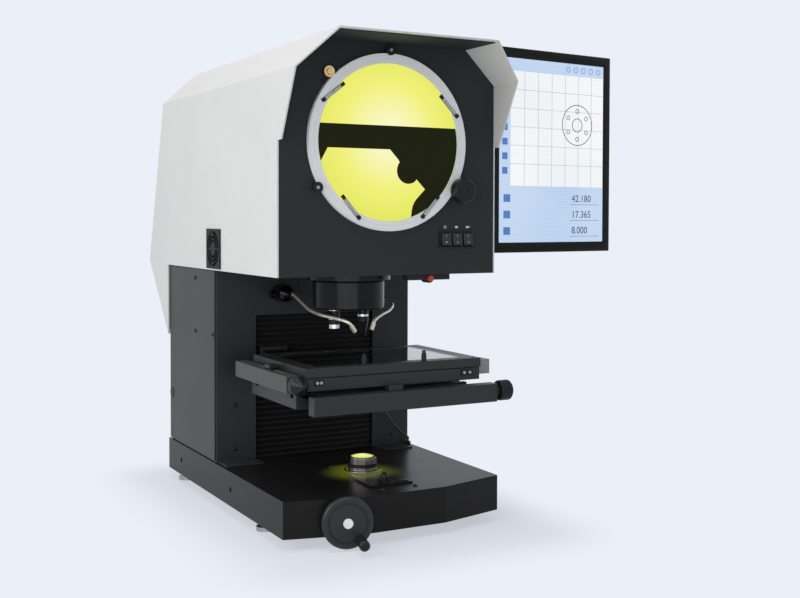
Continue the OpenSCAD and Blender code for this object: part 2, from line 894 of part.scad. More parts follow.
module turret_flange() {
    color([0.25, 0.25, 0.26])
        difference() {
            bar_z(turret_x, axis_y, turret_r + 12, flange_low, head_z);
            bar_z(turret_x, axis_y, 12 + run, flange_low - 6, head_z + 1);
            bar_z(axis_x, axis_y, 14, flange_low - 6, head_z + 1);
        }
}

module turret_body() {
    color([0.15, 0.15, 0.16])
        difference() {
            translate([turret_x, axis_y, 0])
                rotate_extrude()
                    polygon([[0, turret_low], [turret_r - 3, turret_low], [turret_r, turret_low + 3],
                        [turret_r, flange_low - 4], [turret_r - 3, flange_low - gap], [12,
                        flange_low - gap],
                        [12, head_z + 5 + gap], [19, head_z + 5 + gap], [19, head_z + 12], [0,
                        head_z + 12]]);
            for (s = [-1, 1])
                bar_z(turret_x + s * 32, axis_y, lens_stem_r + 0.1, turret_low - 1, flange_low + 1);
        }
}

module objective_main() {
    color([0.2, 0.2, 0.21])
        translate([axis_x, axis_y, 0])
            rotate_extrude()
                polygon([[2.5, 370], [4.5, 370], [6.5, 376], [lens_r - 1, 397], [lens_r, 399], [lens_r,
                    410],
                    [lens_r - 0.8, 411], [lens_r - 0.8, 414], [lens_r, 415], [lens_r, turret_low],
                    [lens_stem_r, turret_low], [lens_stem_r, turret_low + 14], [7, turret_low + 14],
                    [7, 402]]);
}

module objective_spare() {
    color([0.2, 0.2, 0.21])
        translate([turret_x - 32, axis_y, 0])
            rotate_extrude()
                polygon([[5, 386], [9, 386], [lens_r - 1, 388], [lens_r - 1, 397], [lens_r, 398],
                    [lens_r, 406],
                    [lens_r - 0.8, 407], [lens_r - 0.8, 410], [lens_r, 411], [lens_r, turret_low],
                    [lens_stem_r, turret_low], [lens_stem_r, turret_low + 14], [7, turret_low + 14],
                    [7, 392]]);
}

module light_guide_sockets() {
    color([0.12, 0.12, 0.12])
        for (s = [-1, 1])
            difference() {
                union() {
                    bar_y(s * ball_x, ball_z, 15, -50, column_front);
                    bar_y(s * ball_x, ball_z, 20, column_front - 4, column_front);
                }
                translate([s * ball_x, ball_y, ball_z])
                    sphere(r = ball_r + gap);
            }
}

// Ball, clamp knob and nozzle of one guide; the tube is its own sweep
module guide_end(s, route) {
    tip = route[len(route) - 1];
    way = unit(tip - route[len(route) - 2]);
    translate([s * ball_x, ball_y, ball_z])
        sphere(r = ball_r);
    bar_x(ball_y, ball_z, 4, s < 0 ? -ball_x - ball_r - 9 : ball_x, s < 0 ? -ball_x : ball_x + ball_r + 9);
    bar_x(ball_y, ball_z, 8, s < 0 ? -ball_x - ball_r - 16 : ball_x + ball_r + 6,
        s < 0 ? -ball_x - ball_r - 6 : ball_x + ball_r + 16);
    translate(tip - way * 10)
        rotate([0, acos(way[2]), atan2(way[1], way[0])])
            cylinder(r = guide_r + 1, h = 14);
}

module light_guide_left() {
    color([0.08, 0.08, 0.08])
        union() {
            guide_end(-1, left_route);
            tube(left_route, guide_r, 10, 4);
        }
}

module light_guide_right() {
    color([0.08, 0.08, 0.08])
        union() {
            guide_end(1, right_route);
            tube(right_route, guide_r, 10, 4);
        }
}

module fan_frame() {
    inner = -hood_half + sheet;
    color([0.1, 0.1, 0.1]) {
        difference() {
            block(inner, inner + 25, fan_y - 40, fan_y + 40, fan_z - 40, fan_z + 40);
            difference() {
                bar_x(fan_y, fan_z, fan_bore_r, inner - 1, inner + 26);
                block(inner + 22, inner + 27, fan_y - 45, fan_y + 45, fan_z - 3, fan_z + 3);
                bar_x(fan_y, fan_z, 15, inner + 22, inner + 27);
                bar_x(fan_y, fan_z, stud_r, inner + 10, inner + 23);
            }
        }
        difference() {
            block(-hood_half - 3, -hood_half, fan_y - 41.5, fan_y + 41.5, fan_z - 41.5, fan_z + 41.5);
            for (r = [36.5, 28.5, 20.5])
                difference() {
                    bar_x(fan_y, fan_z, r, -hood_half - 4, -hood_half + 1);
                    bar_x(fan_y, fan_z, r - 5.5, -hood_half - 5, -hood_half + 2);
                    block(-hood_half - 3, -hood_half - 1, fan_y - 40, fan_y + 40, fan_z - 1.5, fan_z + 1.5);
                    block(-hood_half - 3, -hood_half - 1, fan_y - 1.5, fan_y + 1.5, fan_z - 40, fan_z + 40);
                }
        }
    }
}

module fan_impeller() {
    color([0.12, 0.12, 0.12])
        difference() {
            union() {
                bar_x(fan_y, fan_z, 15, -hood_half + sheet + 2, -hood_half + sheet + 20);
                for (i = [0 : 6])
                    translate([-hood_half + sheet + 11, fan_y, fan_z])
                        rotate([i * 360 / 7, 0, 0])
                            translate([0, 0, 25])
                                rotate([0, 0, 35])
                                    cube([2, 18, 23], center = true);
            }
            bar_x(fan_y, fan_z, stud_r + run, -hood_half + sheet + 9, -hood_half + sheet + 21);
        }
}

module release_button() {
    color([0.85, 0.2, 0.12])
        bar_y(button_x, head_z - 9, 6, -366, -349);
}

module monitor_bracket() {
    color([0.2, 0.2, 0.21])
        union() {
            block(hood_half, hood_half + 6, swing_y - 50, swing_y + 50, monitor_z - 60, monitor_z + 60);
            for (z = [monitor_z - 28, monitor_z + 15 + gap])
                difference() {
                    union() {
                        block(hood_half + 5, swing_x, swing_y - 13, swing_y + 13, z, z + 13 - gap);
                        bar_z(swing_x, swing_y, 13, z, z + 13 - gap);
                    }
                }
            bar_z(swing_x, swing_y, swing_pin_r, monitor_z - 28, monitor_z + 28);
        }
}

// Places a drawing in the monitor's own frame: front face centre, facing -Y
module on_monitor() {
    translate([monitor_x, monitor_y, monitor_z])
        rotate([0, 0, monitor_yaw])
            children();
}

module monitor_arm() {
    hub_x = monitor_x - (tilt_back + 19) * sin(monitor_yaw);
    hub_y = monitor_y + (tilt_back + 19) * cos(monitor_yaw);
    reach = sqrt(pow(hub_x - swing_x, 2) + pow(hub_y - swing_y, 2));
    turn = atan2(hub_y - swing_y, hub_x - swing_x);
    color([0.2, 0.2, 0.21])
        difference() {
            union() {
                bar_z(swing_x, swing_y, 13, monitor_z - 15, monitor_z + 15);
                translate([swing_x, swing_y, monitor_z])
                    rotate([0, 0, turn])
                        block(8, reach, -8, 8, -12, 12);
                on_monitor()
                    union() {
                        block(-30, 30, tilt_back + 10, tilt_back + 20, -15, 15);
                        for (s = [-1, 1]) {
                            block(s * 25 - 5, s * 25 + 5, tilt_back, tilt_back + 12, -9, 9);
                            bar_x(tilt_back, 0, 9, s * 25 - 5, s * 25 + 5);
                        }
                        bar_x(tilt_back, 0, tilt_pin_r, -28, 28);
                    }
            }
            bar_z(swing_x, swing_y, swing_pin_r + run, monitor_z - 20, monitor_z + 20);
        }
}

module monitor_case() {
    half = monitor_width / 2;
    tall = monitor_height / 2;
    color([0.1, 0.1, 0.11])
        on_monitor()
            difference() {
                union() {
                    block(-half, half, 0, 24, -tall, tall);
                    block(-half + 40, half - 40, 23, monitor_depth, -tall + 50, tall - 50);
                    block(-19, 19, monitor_depth - 1, tilt_back, -9, 9);
                    bar_x(tilt_back, 0, 9, -19, 19);
                }
                block(-half + 20, half - 20, -1, 4, -tall + 21, tall - 21);
                bar_x(tilt_back, 0, tilt_pin_r + run, -25, 25);
            }
}

module monitor_display() {
    half = monitor_width / 2 - 20;
    tall = monitor_height / 2 - 21;
    color([0.75, 0.83, 0.9])
        on_monitor()
            block(-half + 0.2, half - 0.2, 2, 4, -tall + 0.2, tall - 0.2);
}

module power_inlet() {
    color([0.1, 0.1, 0.1])
        difference() {
            union() {
                block(86, 142, column_back, column_back + 3, 108, 146);
                block(90.3, 137.7, column_back - 20, column_back + 1, 112.3, 141.7);
            }
            difference() {
                block(101, 127, column_back - 15, column_back + 4, 118, 136);
                for (x = [107, 114, 121])
                    block(x - 1, x + 1, column_back - 16, column_back - 2, 125, 129);
            }
        }
}

module stage_cable() {
    color([0.1, 0.1, 0.1])
        tube(cable_route, cable_r, 8, 4);
}

base_casting();
levelling_feet();
illuminator_plate();
lamp_house();
condenser_barrel();
condenser_lens();
helix_lever();
handwheel();
handwheel_shaft();
hub_cap();
crank_grip();
lift_gearbox();
lift_screw();
column_frame();
column_side_covers();
column_rear_cover();
bellows_upper();
bellows_lower();
lift_carriage();
stage_bracket();
x_drive_housing();
x_knob();
x_slide();
y_drive_housing();
y_knob();
stage_frame();
stage_glass();
stage_pins();
read_head();
head_floor();
hood();
front_panel();
mirrors();
switch_bezel();
rocker_power();
rocker_profile();
rocker_surface();
screen_ring();
screen_glass();
chart_clips();
roller_top();
roller_left();
encoder_wheel();
screen_knob();
turret_flange();
turret_body();
objective_main();
objective_spare();
light_guide_sockets();
light_guide_left();
light_guide_right();
fan_frame();
fan_impeller();
release_button();
monitor_bracket();
monitor_arm();
monitor_case();
monitor_display();
power_inlet();
stage_cable();
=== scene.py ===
import math

import bmesh
import bpy
from mathutils import Matrix, Vector


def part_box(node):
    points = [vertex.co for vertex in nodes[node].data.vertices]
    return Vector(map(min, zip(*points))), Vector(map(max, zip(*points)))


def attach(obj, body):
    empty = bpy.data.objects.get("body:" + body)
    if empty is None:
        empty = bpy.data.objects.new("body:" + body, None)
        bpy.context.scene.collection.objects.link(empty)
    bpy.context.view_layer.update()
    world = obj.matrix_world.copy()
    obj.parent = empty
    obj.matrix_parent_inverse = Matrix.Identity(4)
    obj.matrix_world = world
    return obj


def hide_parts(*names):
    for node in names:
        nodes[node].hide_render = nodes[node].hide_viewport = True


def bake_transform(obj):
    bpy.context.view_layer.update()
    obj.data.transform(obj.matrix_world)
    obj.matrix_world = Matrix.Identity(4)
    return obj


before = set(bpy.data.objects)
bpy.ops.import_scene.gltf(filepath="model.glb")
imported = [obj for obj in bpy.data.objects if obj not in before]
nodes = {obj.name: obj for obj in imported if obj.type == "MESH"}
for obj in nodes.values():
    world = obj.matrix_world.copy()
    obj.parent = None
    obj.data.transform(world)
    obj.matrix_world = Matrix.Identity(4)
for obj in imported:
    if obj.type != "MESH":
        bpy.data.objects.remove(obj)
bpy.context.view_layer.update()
scene = bpy.context.scene
scene.view_settings.view_transform = "Standard"
print("solids loaded:", len(nodes))


# camera at the photograph's place, its middle shifted as the picture was cropped
cameraView = {"place": (-1.0277, -2.3031, 0.6092), "yaw": 28.561, "pitch": -1.531, "roll": 0.161,
              "lens": 51.06, "shift": -0.0633}


def placeCamera(view):
    yaw, pitch, roll = (math.radians(view[k]) for k in ("yaw", "pitch", "roll"))
    look = Vector((math.sin(yaw) * math.cos(pitch), math.cos(yaw) * math.cos(pitch), math.sin(pitch)))
    side = Vector((math.cos(yaw), -math.sin(yaw), 0))
    up = side.cross(look)
    right = side * math.cos(roll) + up * math.sin(roll)
    top = up * math.cos(roll) - side * math.sin(roll)
    lens = bpy.data.cameras.new("studioCamera")
    lens.lens, lens.sensor_width, lens.shift_y = view["lens"], 36, view["shift"]
    lens.clip_start, lens.clip_end = 0.05, 60
    holder = bpy.data.objects.new("studioCamera", lens)
    scene.collection.objects.link(holder)
    turn = Matrix((right, top, -look)).transposed().to_4x4()
    holder.matrix_world = Matrix.Translation(view["place"]) @ turn
    scene.camera = holder


placeCamera(cameraView)
print("camera placed")


def linear(hexText):
    parts = [int(hexText[i:i + 2], 16) / 255 for i in (1, 3, 5)]
    return tuple(p / 12.92 if p <= 0.04045 else ((p + 0.055) / 1.055) ** 2.4 for p in parts) + (1,)


def connect(tree, node, links):
    for socket, value in links.items():
        if isinstance(value, bpy.types.NodeSocket):
            tree.links.new(value, node.inputs[socket])
        else:
            node.inputs[socket].default_value = value


def addNode(tree, kind, settings=None, links=None, stops=()):
    made = tree.nodes.new("ShaderNode" + kind)
    for name, value in (settings or {}).items():
        setattr(made, name, value)
    connect(tree, made, links or {})
    for k, (position, colour) in enumerate(stops):
        ramp = made.color_ramp.elements
        stop = ramp[k] if k < len(ramp) else ramp.new(position)
        stop.position, stop.color = position, linear(colour)
    return made


def startMaterial(name, sockets):
    material = bpy.data.materials.new(name)
    material.use_nodes = True
    tree = material.node_tree
    shader = tree.nodes["Principled BSDF"]
    connect(tree, shader, sockets)
    return material, tree, shader, addNode(tree, "TexCoord").outputs["Object"]


# a surface between a dark and a light tone and between two degrees of gloss, with a relief
def dressShader(tree, shader, look, tone, height, span, wear=None, worn=(0, 1)):
    ramp = addNode(tree, "ValToRGB", {}, {"Fac": tone}, zip(span, (look["dark"], look["light"])))
    gloss = addNode(tree, "MapRange", {}, {"Value": wear or tone, "From Min": worn[0],
                    "From Max": worn[1], "To Min": look["rough"][0], "To Max": look["rough"][1]})
    bump = addNode(tree, "Bump", {}, {"Height": height, "Strength": look["bump"],
                   "Distance": look.get("height", 0.05) / 1000})
    connect(tree, shader, {"Base Color": ramp.outputs["Color"], "Roughness": gloss.outputs["Result"],
                           "Normal": bump.outputs["Normal"]})
    return ramp.outputs["Color"]


# a sprayed, moulded, cast or blasted surface: a fine grain in height, gloss and tone.
# grain is its size in mm, cloud the size of the slow drift in tone that big panels show
def grainFinish(name, look, sockets=None):
    material, tree, shader, place = startMaterial(name, sockets or {})
    grain = addNode(tree, "TexNoise", {}, {"Vector": place, "Scale": 1000 / look["grain"],
                    "Detail": 3.0, "Roughness": 0.6})
    cloud = addNode(tree, "TexNoise", {}, {"Vector": place, "Scale": 1000 / look["cloud"],
                    "Detail": 4.0, "Roughness": 0.55})
    tone = addNode(tree, "Mix", {"data_type": "FLOAT"},
                   {"Factor": 0.45, "A": grain.outputs["Fac"], "B": cloud.outputs["Fac"]})
    paint = dressShader(tree, shader, look, tone.outputs["Result"], grain.outputs["Fac"], (0.32, 0.68),
                        worn=(0.3, 0.7))
    if "core" in look:  # the swivel ball and its clamp at the tube's root are black
        core = look["core"]
        folded = addNode(tree, "VectorMath", {"operation": "ABSOLUTE"}, {0: place})
        away = addNode(tree, "VectorMath", {"operation": "DISTANCE"},
                       {0: folded.outputs["Vector"], 1: [c / 1000 for c in core["ball"]]})
        split = addNode(tree, "SeparateXYZ", {}, {"Vector": folded.outputs["Vector"]})
        outer = addNode(tree, "Math", {"operation": "GREATER_THAN"},
                        {0: split.outputs["X"], 1: core["clampFrom"] / 1000})
        low = addNode(tree, "Math", {"operation": "LESS_THAN"},
                      {0: split.outputs["Y"], 1: core["clampDepth"] / 1000})
        clamp = addNode(tree, "Math", {"operation": "MULTIPLY"},
                        {0: outer.outputs["Value"], 1: low.outputs["Value"]})
        ballHere = addNode(tree, "Math", {"operation": "LESS_THAN"},
                           {0: away.outputs["Value"], 1: core["reach"] / 1000})
        black = addNode(tree, "Math", {"operation": "MAXIMUM"},
                        {0: ballHere.outputs["Value"], 1: clamp.outputs["Value"]})
        coat = addNode(tree, "Mix", {"data_type": "RGBA"}, {"Factor": black.outputs["Value"],
                       6: paint, 7: linear(core["colour"])})
        connect(tree, shader, {"Base Color": coat.outputs[2]})
    # painted light: a glow round a point, given as emission, that stands in for light falling on the surface
    if "glow" in look:
        glow = look["glow"]
        centred = addNode(tree, "Mapping", {"vector_type": "TEXTURE"},
                          {"Vector": place, "Location": [c / 1000 for c in glow["centre"]],
                           "Scale": [glow["reach"] / 1000] * 3})
        ball = addNode(tree, "TexGradient", {"gradient_type": "SPHERICAL"},
                       {"Vector": centred.outputs["Vector"]})
        fall = addNode(tree, "ValToRGB", {}, {"Fac": ball.outputs["Fac"]},
                       [(0.0, "#000000"), (0.9, glow["colour"])])
        fall.color_ramp.interpolation = "EASE"
        connect(tree, shader, {"Emission Color": fall.outputs["Color"], "Emission Strength": 1.0})
    return material


# a part cut on a lathe: fine rings about its own axis. pitch is the tool mark's spacing in mm,
# drawn coarser than the real 0.1 mm so that it shows
def turnedFinish(name, look, sockets=None):
    material, tree, shader, place = startMaterial(name, {"Metallic": look["metal"], **(sockets or {})})
    centred = addNode(tree, "Mapping", {}, {"Vector": place,
                      "Location": [-c / 1000 for c in look["centre"]]})
    rings = addNode(tree, "TexWave", {"wave_type": "RINGS", "rings_direction": look["axis"]},
                    {"Vector": centred.outputs["Vector"], "Scale": 1000 / look["pitch"] / 20,
                     "Distortion": 0.6, "Detail": 2.0, "Detail Scale": 3.0})
    smear = addNode(tree, "TexNoise", {}, {"Vector": place, "Scale": 1000 / 9, "Detail": 3.0})
    tone = addNode(tree, "Mix", {"data_type": "FLOAT"},
                   {"Factor": 0.5, "A": rings.outputs["Fac"], "B": smear.outputs["Fac"]})
    dressShader(tree, shader, look, tone.outputs["Result"], rings.outputs["Fac"], (0.25, 0.75))
    return material


# powder coat, oven cured: satin, with a shallow orange peel about 1.6 mm across
hoodPaint = grainFinish("lightGreyPowderCoat", {"dark": "#d5d4d0", "light": "#dfdeda", "grain": 1.6,
                        "cloud": 180, "rough": (0.38, 0.5), "bump": 0.12})
# the same coat in a fine matt black on the front panel, which kills stray light
panelPaint = grainFinish("mattBlackPowderCoat", {"dark": "#27292b", "light": "#2e3033", "grain": 1.1,
                         "cloud": 90, "rough": (0.6, 0.72), "bump": 0.2}, {"Specular IOR Level": 0.2})
# structure paint on the folded column sheets: pebbled, charcoal, half matt
columnPaint = grainFinish("charcoalStructurePaint", {"dark": "#2a2b2c", "light": "#343536", "grain": 1.3,
                          "cloud": 140, "rough": (0.34, 0.46), "bump": 0.3, "height": 0.08},
                          {"Specular IOR Level": 0.2})
# painted light: a pool of the condenser's light, laid in as a glow on the plate and the base top round it
paintedPlateGlow = {"centre": (4, -250, 96), "reach": 96, "colour": "#5a6414"}
# enamel over a ground iron casting: smooth near black, with a soft broad shine, and painted light round the
# condenser
baseEnamel = grainFinish("blackStovedEnamel", {"dark": "#161615", "light": "#201f1f", "grain": 2.4,
                         "cloud": 160, "rough": (0.26, 0.36), "bump": 0.16, "glow": paintedPlateGlow},
                        {"Specular IOR Level": 0.115})
# the same structure paint on the slide covers, in slate and a shade lighter
coverPaint = grainFinish("slateStructurePaint", {"dark": "#41413f", "light": "#4c4c49", "grain": 1.3,
                         "cloud": 80, "rough": (0.45, 0.58), "bump": 0.25}, {"Specular IOR Level": 0.3})
# anodised aluminium, bead blasted first: black with a fine sparkle, grain drawn at 0.5 mm to show
stageAnodised = grainFinish("blackAnodisedAluminium", {"dark": "#1d1d1c", "light": "#272726", "grain": 0.5,
                            "cloud": 60, "rough": (0.36, 0.48), "bump": 0.1}, {"Specular IOR Level": 0.35})
# clear anodised block of the scale reader: even mid grey with a metal sheen
readerAnodised = grainFinish("greyAnodisedAluminium", {"dark": "#7f807d", "light": "#8e8f8c", "grain": 0.6,
                             "cloud": 30, "rough": (0.35, 0.48), "bump": 0.1}, {"Metallic": 0.35})
# acetal knobs, turned and left as cut: deep black, fairly shiny
knobAcetal = grainFinish("blackAcetal", {"dark": "#121315", "light": "#1b1c1f", "grain": 0.7,
                         "cloud": 25, "rough": (0.28, 0.4), "bump": 0.06}, {"Specular IOR Level": 0.22})
# black oxide on turned steel and small fittings: dark, soft highlights
blackOxide = grainFinish("blackOxideSteel", {"dark": "#151516", "light": "#222224", "grain": 0.6,
                         "cloud": 20, "rough": (0.28, 0.42), "bump": 0.08}, {"Specular IOR Level": 0.2})
# moulded nylon of the handwheel: satin charcoal
wheelPlastic = grainFinish("charcoalMouldedNylon", {"dark": "#202124", "light": "#2a2b2e", "grain": 0.9,
                           "cloud": 40, "rough": (0.34, 0.46), "bump": 0.14}, {"Specular IOR Level": 0.3})
# moulded polycarbonate of the rocker caps: black with a clear gloss
rockerPlastic = grainFinish("glossBlackPolycarbonate", {"dark": "#0d0d0e", "light": "#151516", "grain": 0.8,
                            "cloud": 15, "rough": (0.16, 0.26), "bump": 0.03})
# the same plastic in red on the release button, half gloss
redPlastic = grainFinish("redMouldedPolycarbonate", {"dark": "#b93a1a", "light": "#d24b22", "grain": 0.8,
                         "cloud": 12, "rough": (0.25, 0.35), "bump": 0.05})
# moulded ABS of the monitor and the fan, from a spark eroded mould: near black, finely grained, matt
monitorPlastic = grainFinish("blackMouldedAbs", {"dark": "#10100f", "light": "#171615", "grain": 0.9,
                             "cloud": 70, "rough": (0.4, 0.52), "bump": 0.14}, {"Specular IOR Level": 0.12})
# zinc plate on turned steel: bright, a little streaky
footSteel = grainFinish("zincPlatedSteel", {"dark": "#9a9b9b", "light": "#bdbebe", "grain": 1.2,
                        "cloud": 14, "rough": (0.22, 0.34), "bump": 0.08}, {"Metallic": 1.0})
# white acetal of the wheel's cap: clean, with a soft shine
hubAcetal = grainFinish("whiteAcetal", {"dark": "#f2f2f0", "light": "#fbfbfa", "grain": 0.7,
                        "cloud": 10, "rough": (0.3, 0.4), "bump": 0.05})
# extruded PVC: black, half matt
cableJacket = grainFinish("blackPvcJacket", {"dark": "#1b1b1a", "light": "#262625", "grain": 0.8,
                          "cloud": 30, "rough": (0.42, 0.55), "bump": 0.1})
# printed marks: white epoxy ink, slightly thin in places
markInk = grainFinish("whiteEpoxyInk", {"dark": "#cfd1d1", "light": "#e8eaea", "grain": 0.7,
                      "cloud": 8, "rough": (0.45, 0.55), "bump": 0.05})
# milled steel inside the machine: grey, with a soft metal shine
innerSteel = grainFinish("milledSteel", {"dark": "#7c7d7e", "light": "#939495", "grain": 1.2,
                         "cloud": 30, "rough": (0.32, 0.46), "bump": 0.1}, {"Metallic": 1.0})
# bright drawn stainless tube, a little warm
guideSteel = grainFinish("drawnStainlessTube", {"dark": "#c9c2ae", "light": "#e4dfce", "grain": 1.0,
                         "cloud": 14, "rough": (0.18, 0.3), "bump": 0.05,
                         "core": {"ball": (85, 60, 447), "reach": 19.5, "clampFrom": 103.5, "clampDepth": 75,
                                  "colour": "#0f0f10"}}, {"Metallic": 0.6})
# polished steel bands: close to a mirror, a little hazed
brightSteel = grainFinish("polishedSteel", {"dark": "#b9babb", "light": "#d3d4d5", "grain": 0.8,
                          "cloud": 12, "rough": (0.14, 0.24), "bump": 0.03}, {"Metallic": 1.0})
# ground spring steel strip: grey, brushed bright
clipSteel = grainFinish("groundSpringSteel", {"dark": "#8d8f91", "light": "#adb0b2", "grain": 0.8,
                        "cloud": 10, "rough": (0.25, 0.38), "bump": 0.06}, {"Metallic": 1.0})
# black chrome barrel of the condenser: dark mirror
blackChrome = grainFinish("blackChromePlate", {"dark": "#867d7c", "light": "#a0979a", "grain": 0.9,
                          "cloud": 20, "rough": (0.14, 0.22), "bump": 0.02}, {"Metallic": 1.0})
# first surface mirrors inside the hood: silver, nearly perfect
mirrorSilver = grainFinish("silveredGlass", {"dark": "#dfe3e4", "light": "#eceff0", "grain": 2.0,
                           "cloud": 60, "rough": (0.02, 0.05), "bump": 0.01}, {"Metallic": 1.0})
# the screen's holder: aluminium ring, turned and clear anodised
ringAluminium = turnedFinish("turnedClearAnodisedAluminium", {"dark": "#ebecec", "light": "#f3f4f4",
                             "centre": (-9, 0, 753), "axis": "Y", "pitch": 1.2, "rough": (0.4, 0.5),
                             "metal": 0.05, "bump": 0.03})
# free cutting brass, turned and lacquered
wheelBrass = turnedFinish("turnedBrass", {"dark": "#c2a066", "light": "#e3c894", "centre": (-136, 0, 880),
                          "axis": "Y", "pitch": 1.0, "rough": (0.2, 0.32), "metal": 1.0, "bump": 0.1})
# black anodised aluminium, turned: deep black with a narrow highlight
turretBlack = turnedFinish("turnedBlackAnodised", {"dark": "#0f1011", "light": "#191a1c",
                           "centre": (-28, -250, 0), "axis": "Z", "pitch": 1.4, "rough": (0.14, 0.22),
                           "metal": 0.0, "bump": 0.02}, {"Specular IOR Level": 0.14})
print("paints and metals made")


# a ground glass screen lit from behind by a green filtered lamp: pale in the middle, deeper at the rim
def glowingScreen(name, look):
    material, tree, shader, place = startMaterial(name, {"Roughness": 0.5, "Base Color": linear("#14150a"),
                                           "Specular IOR Level": 0.12})
    centred = addNode(tree, "Mapping", {"vector_type": "TEXTURE"}, {"Vector": place,
                      "Location": [c / 1000 for c in look["centre"]], "Scale": [look["reach"] / 1000] * 3})
    ball = addNode(tree, "TexGradient", {"gradient_type": "SPHERICAL"},
                   {"Vector": centred.outputs["Vector"]})
    speckle = addNode(tree, "TexNoise", {}, {"Vector": place, "Scale": 1000 / 0.9, "Detail": 2.0})
    uneven = addNode(tree, "Math", {"operation": "MULTIPLY_ADD"},
                     {0: speckle.outputs["Fac"], 1: 0.05, 2: ball.outputs["Fac"]})
    ramp = addNode(tree, "ValToRGB", {}, {"Fac": uneven.outputs["Value"]},
                   [(0.0, look["rim"]), (1.0, look["heart"]), (0.55, look["half"])])
    bump = addNode(tree, "Bump", {}, {"Height": speckle.outputs["Fac"], "Strength": 0.1,
                   "Distance": 0.00003})
    connect(tree, shader, {"Emission Color": ramp.outputs["Color"], "Emission Strength": look["power"],
                           "Normal": bump.outputs["Normal"]})
    return material


screenGlow = glowingScreen("litGroundGlass", {"centre": (-10, -389, 764), "reach": 212, "rim": "#d9df36",
                           "half": "#f2f27a", "heart": "#fdfad4", "power": 0.98})
lensGlow = glowingScreen("litCondenserGlass", {"centre": (4, -250, 124), "reach": 36, "rim": "#b9c83a",
                         "half": "#e4ec78", "heart": "#fbfcd6", "power": 0.98})
# the shadow on the ground glass: a little stray light leaves it dark olive
shadowLook = {"dark": "#040402", "light": "#080804", "grain": 1.5, "cloud": 90, "rough": (0.5, 0.6),
              "bump": 0.05}
screenShadow = grainFinish("shadowOnGroundGlass", shadowLook, {"Emission Color": linear("#1a1d09"),
                           "Emission Strength": 1.0, "Specular IOR Level": 0.05})


# float glass plate of the stage: clear, faint green, a wiped film on top
def plateGlass(name, look):
    material, tree, shader, place = startMaterial(name, {"Transmission Weight": 1.0, "IOR": look["ior"],
                                           "Base Color": linear(look["tint"])})
    film = addNode(tree, "TexNoise", {}, {"Vector": place, "Scale": 1000 / look["film"],
                   "Detail": 5.0, "Distortion": 0.8})
    gloss = addNode(tree, "MapRange", {}, {"Value": film.outputs["Fac"], "From Min": 0.35,
                    "From Max": 0.7, "To Min": look["rough"][0], "To Max": look["rough"][1]})
    connect(tree, shader, {"Roughness": gloss.outputs["Result"]})
    return material


tableGlass = plateGlass("floatGlass", {"tint": "#e6efe8", "ior": 1.52, "film": 45, "rough": (0.005, 0.05)})


# bellows cloth: nylon with a rubber coat, a woven grain of 0.8 mm that shows as a faint cross pattern
def coatedCloth(name, look):
    material, tree, shader, place = startMaterial(name, {"Sheen Weight": 0.1, "Sheen Roughness": 0.5,
                                           "Specular IOR Level": 0.12})
    warp = addNode(tree, "TexWave", {"bands_direction": "X"}, {"Vector": place,
                   "Scale": 1000 / look["thread"] / 20, "Distortion": 0.3})
    weft = addNode(tree, "TexWave", {"bands_direction": "Z"}, {"Vector": place,
                   "Scale": 1000 / look["thread"] / 20, "Distortion": 0.3})
    weave = addNode(tree, "Math", {"operation": "MULTIPLY"},
                    {0: warp.outputs["Fac"], 1: weft.outputs["Fac"]})
    dust = addNode(tree, "TexNoise", {}, {"Vector": place, "Scale": 1000 / 35, "Detail": 4.0})
    tone = addNode(tree, "Math", {"operation": "MULTIPLY_ADD"},
                   {0: weave.outputs["Value"], 1: 0.3, 2: dust.outputs["Fac"]})
    dressShader(tree, shader, look, tone.outputs["Value"], weave.outputs["Value"], (0.3, 0.9),
                dust.outputs["Fac"])
    return material


bellowsCloth = coatedCloth("rubberCoatedNylon", {"dark": "#0a0a0b", "light": "#121213", "thread": 0.8,
                           "rough": (0.45, 0.62), "bump": 0.25, "height": 0.08})


# a lit display: each colour is broken by its pixel rows, drawn at 0.9 mm instead of 0.28 mm to show
def litPixels(name, dark, light):
    material, tree, shader, place = startMaterial(name, {"Base Color": linear("#0a0b0d"), "Roughness": 0.35,
                                           "Emission Strength": 0.9})
    rows = addNode(tree, "TexWave", {"bands_direction": "Z"}, {"Vector": place,
                   "Scale": 1000 / 0.9 / 20})
    drift = addNode(tree, "TexNoise", {}, {"Vector": place, "Scale": 1000 / 150, "Detail": 1.0})
    tone = addNode(tree, "Math", {"operation": "MULTIPLY_ADD"},
                   {0: rows.outputs["Fac"], 1: 0.35, 2: drift.outputs["Fac"]})
    ramp = addNode(tree, "ValToRGB", {}, {"Fac": tone.outputs["Value"]},
                   [(0.3, dark), (0.95, light)])
    connect(tree, shader, {"Emission Color": ramp.outputs["Color"]})
    return material


paperPixels = litPixels("litWhitePixels", "#f2f5fa", "#fdfeff")
skyPixels = litPixels("litPaleBluePixels", "#b9d2f3", "#cbdff9")
deepPixels = litPixels("litBluePixels", "#3d6fb4", "#4a7dc2")
tealPixels = litPixels("litTealPixels", "#2f9a86", "#3aab96")
inkPixels = litPixels("litInkPixels", "#2a3440", "#36424f")
print("glass, cloth and lit surfaces made")

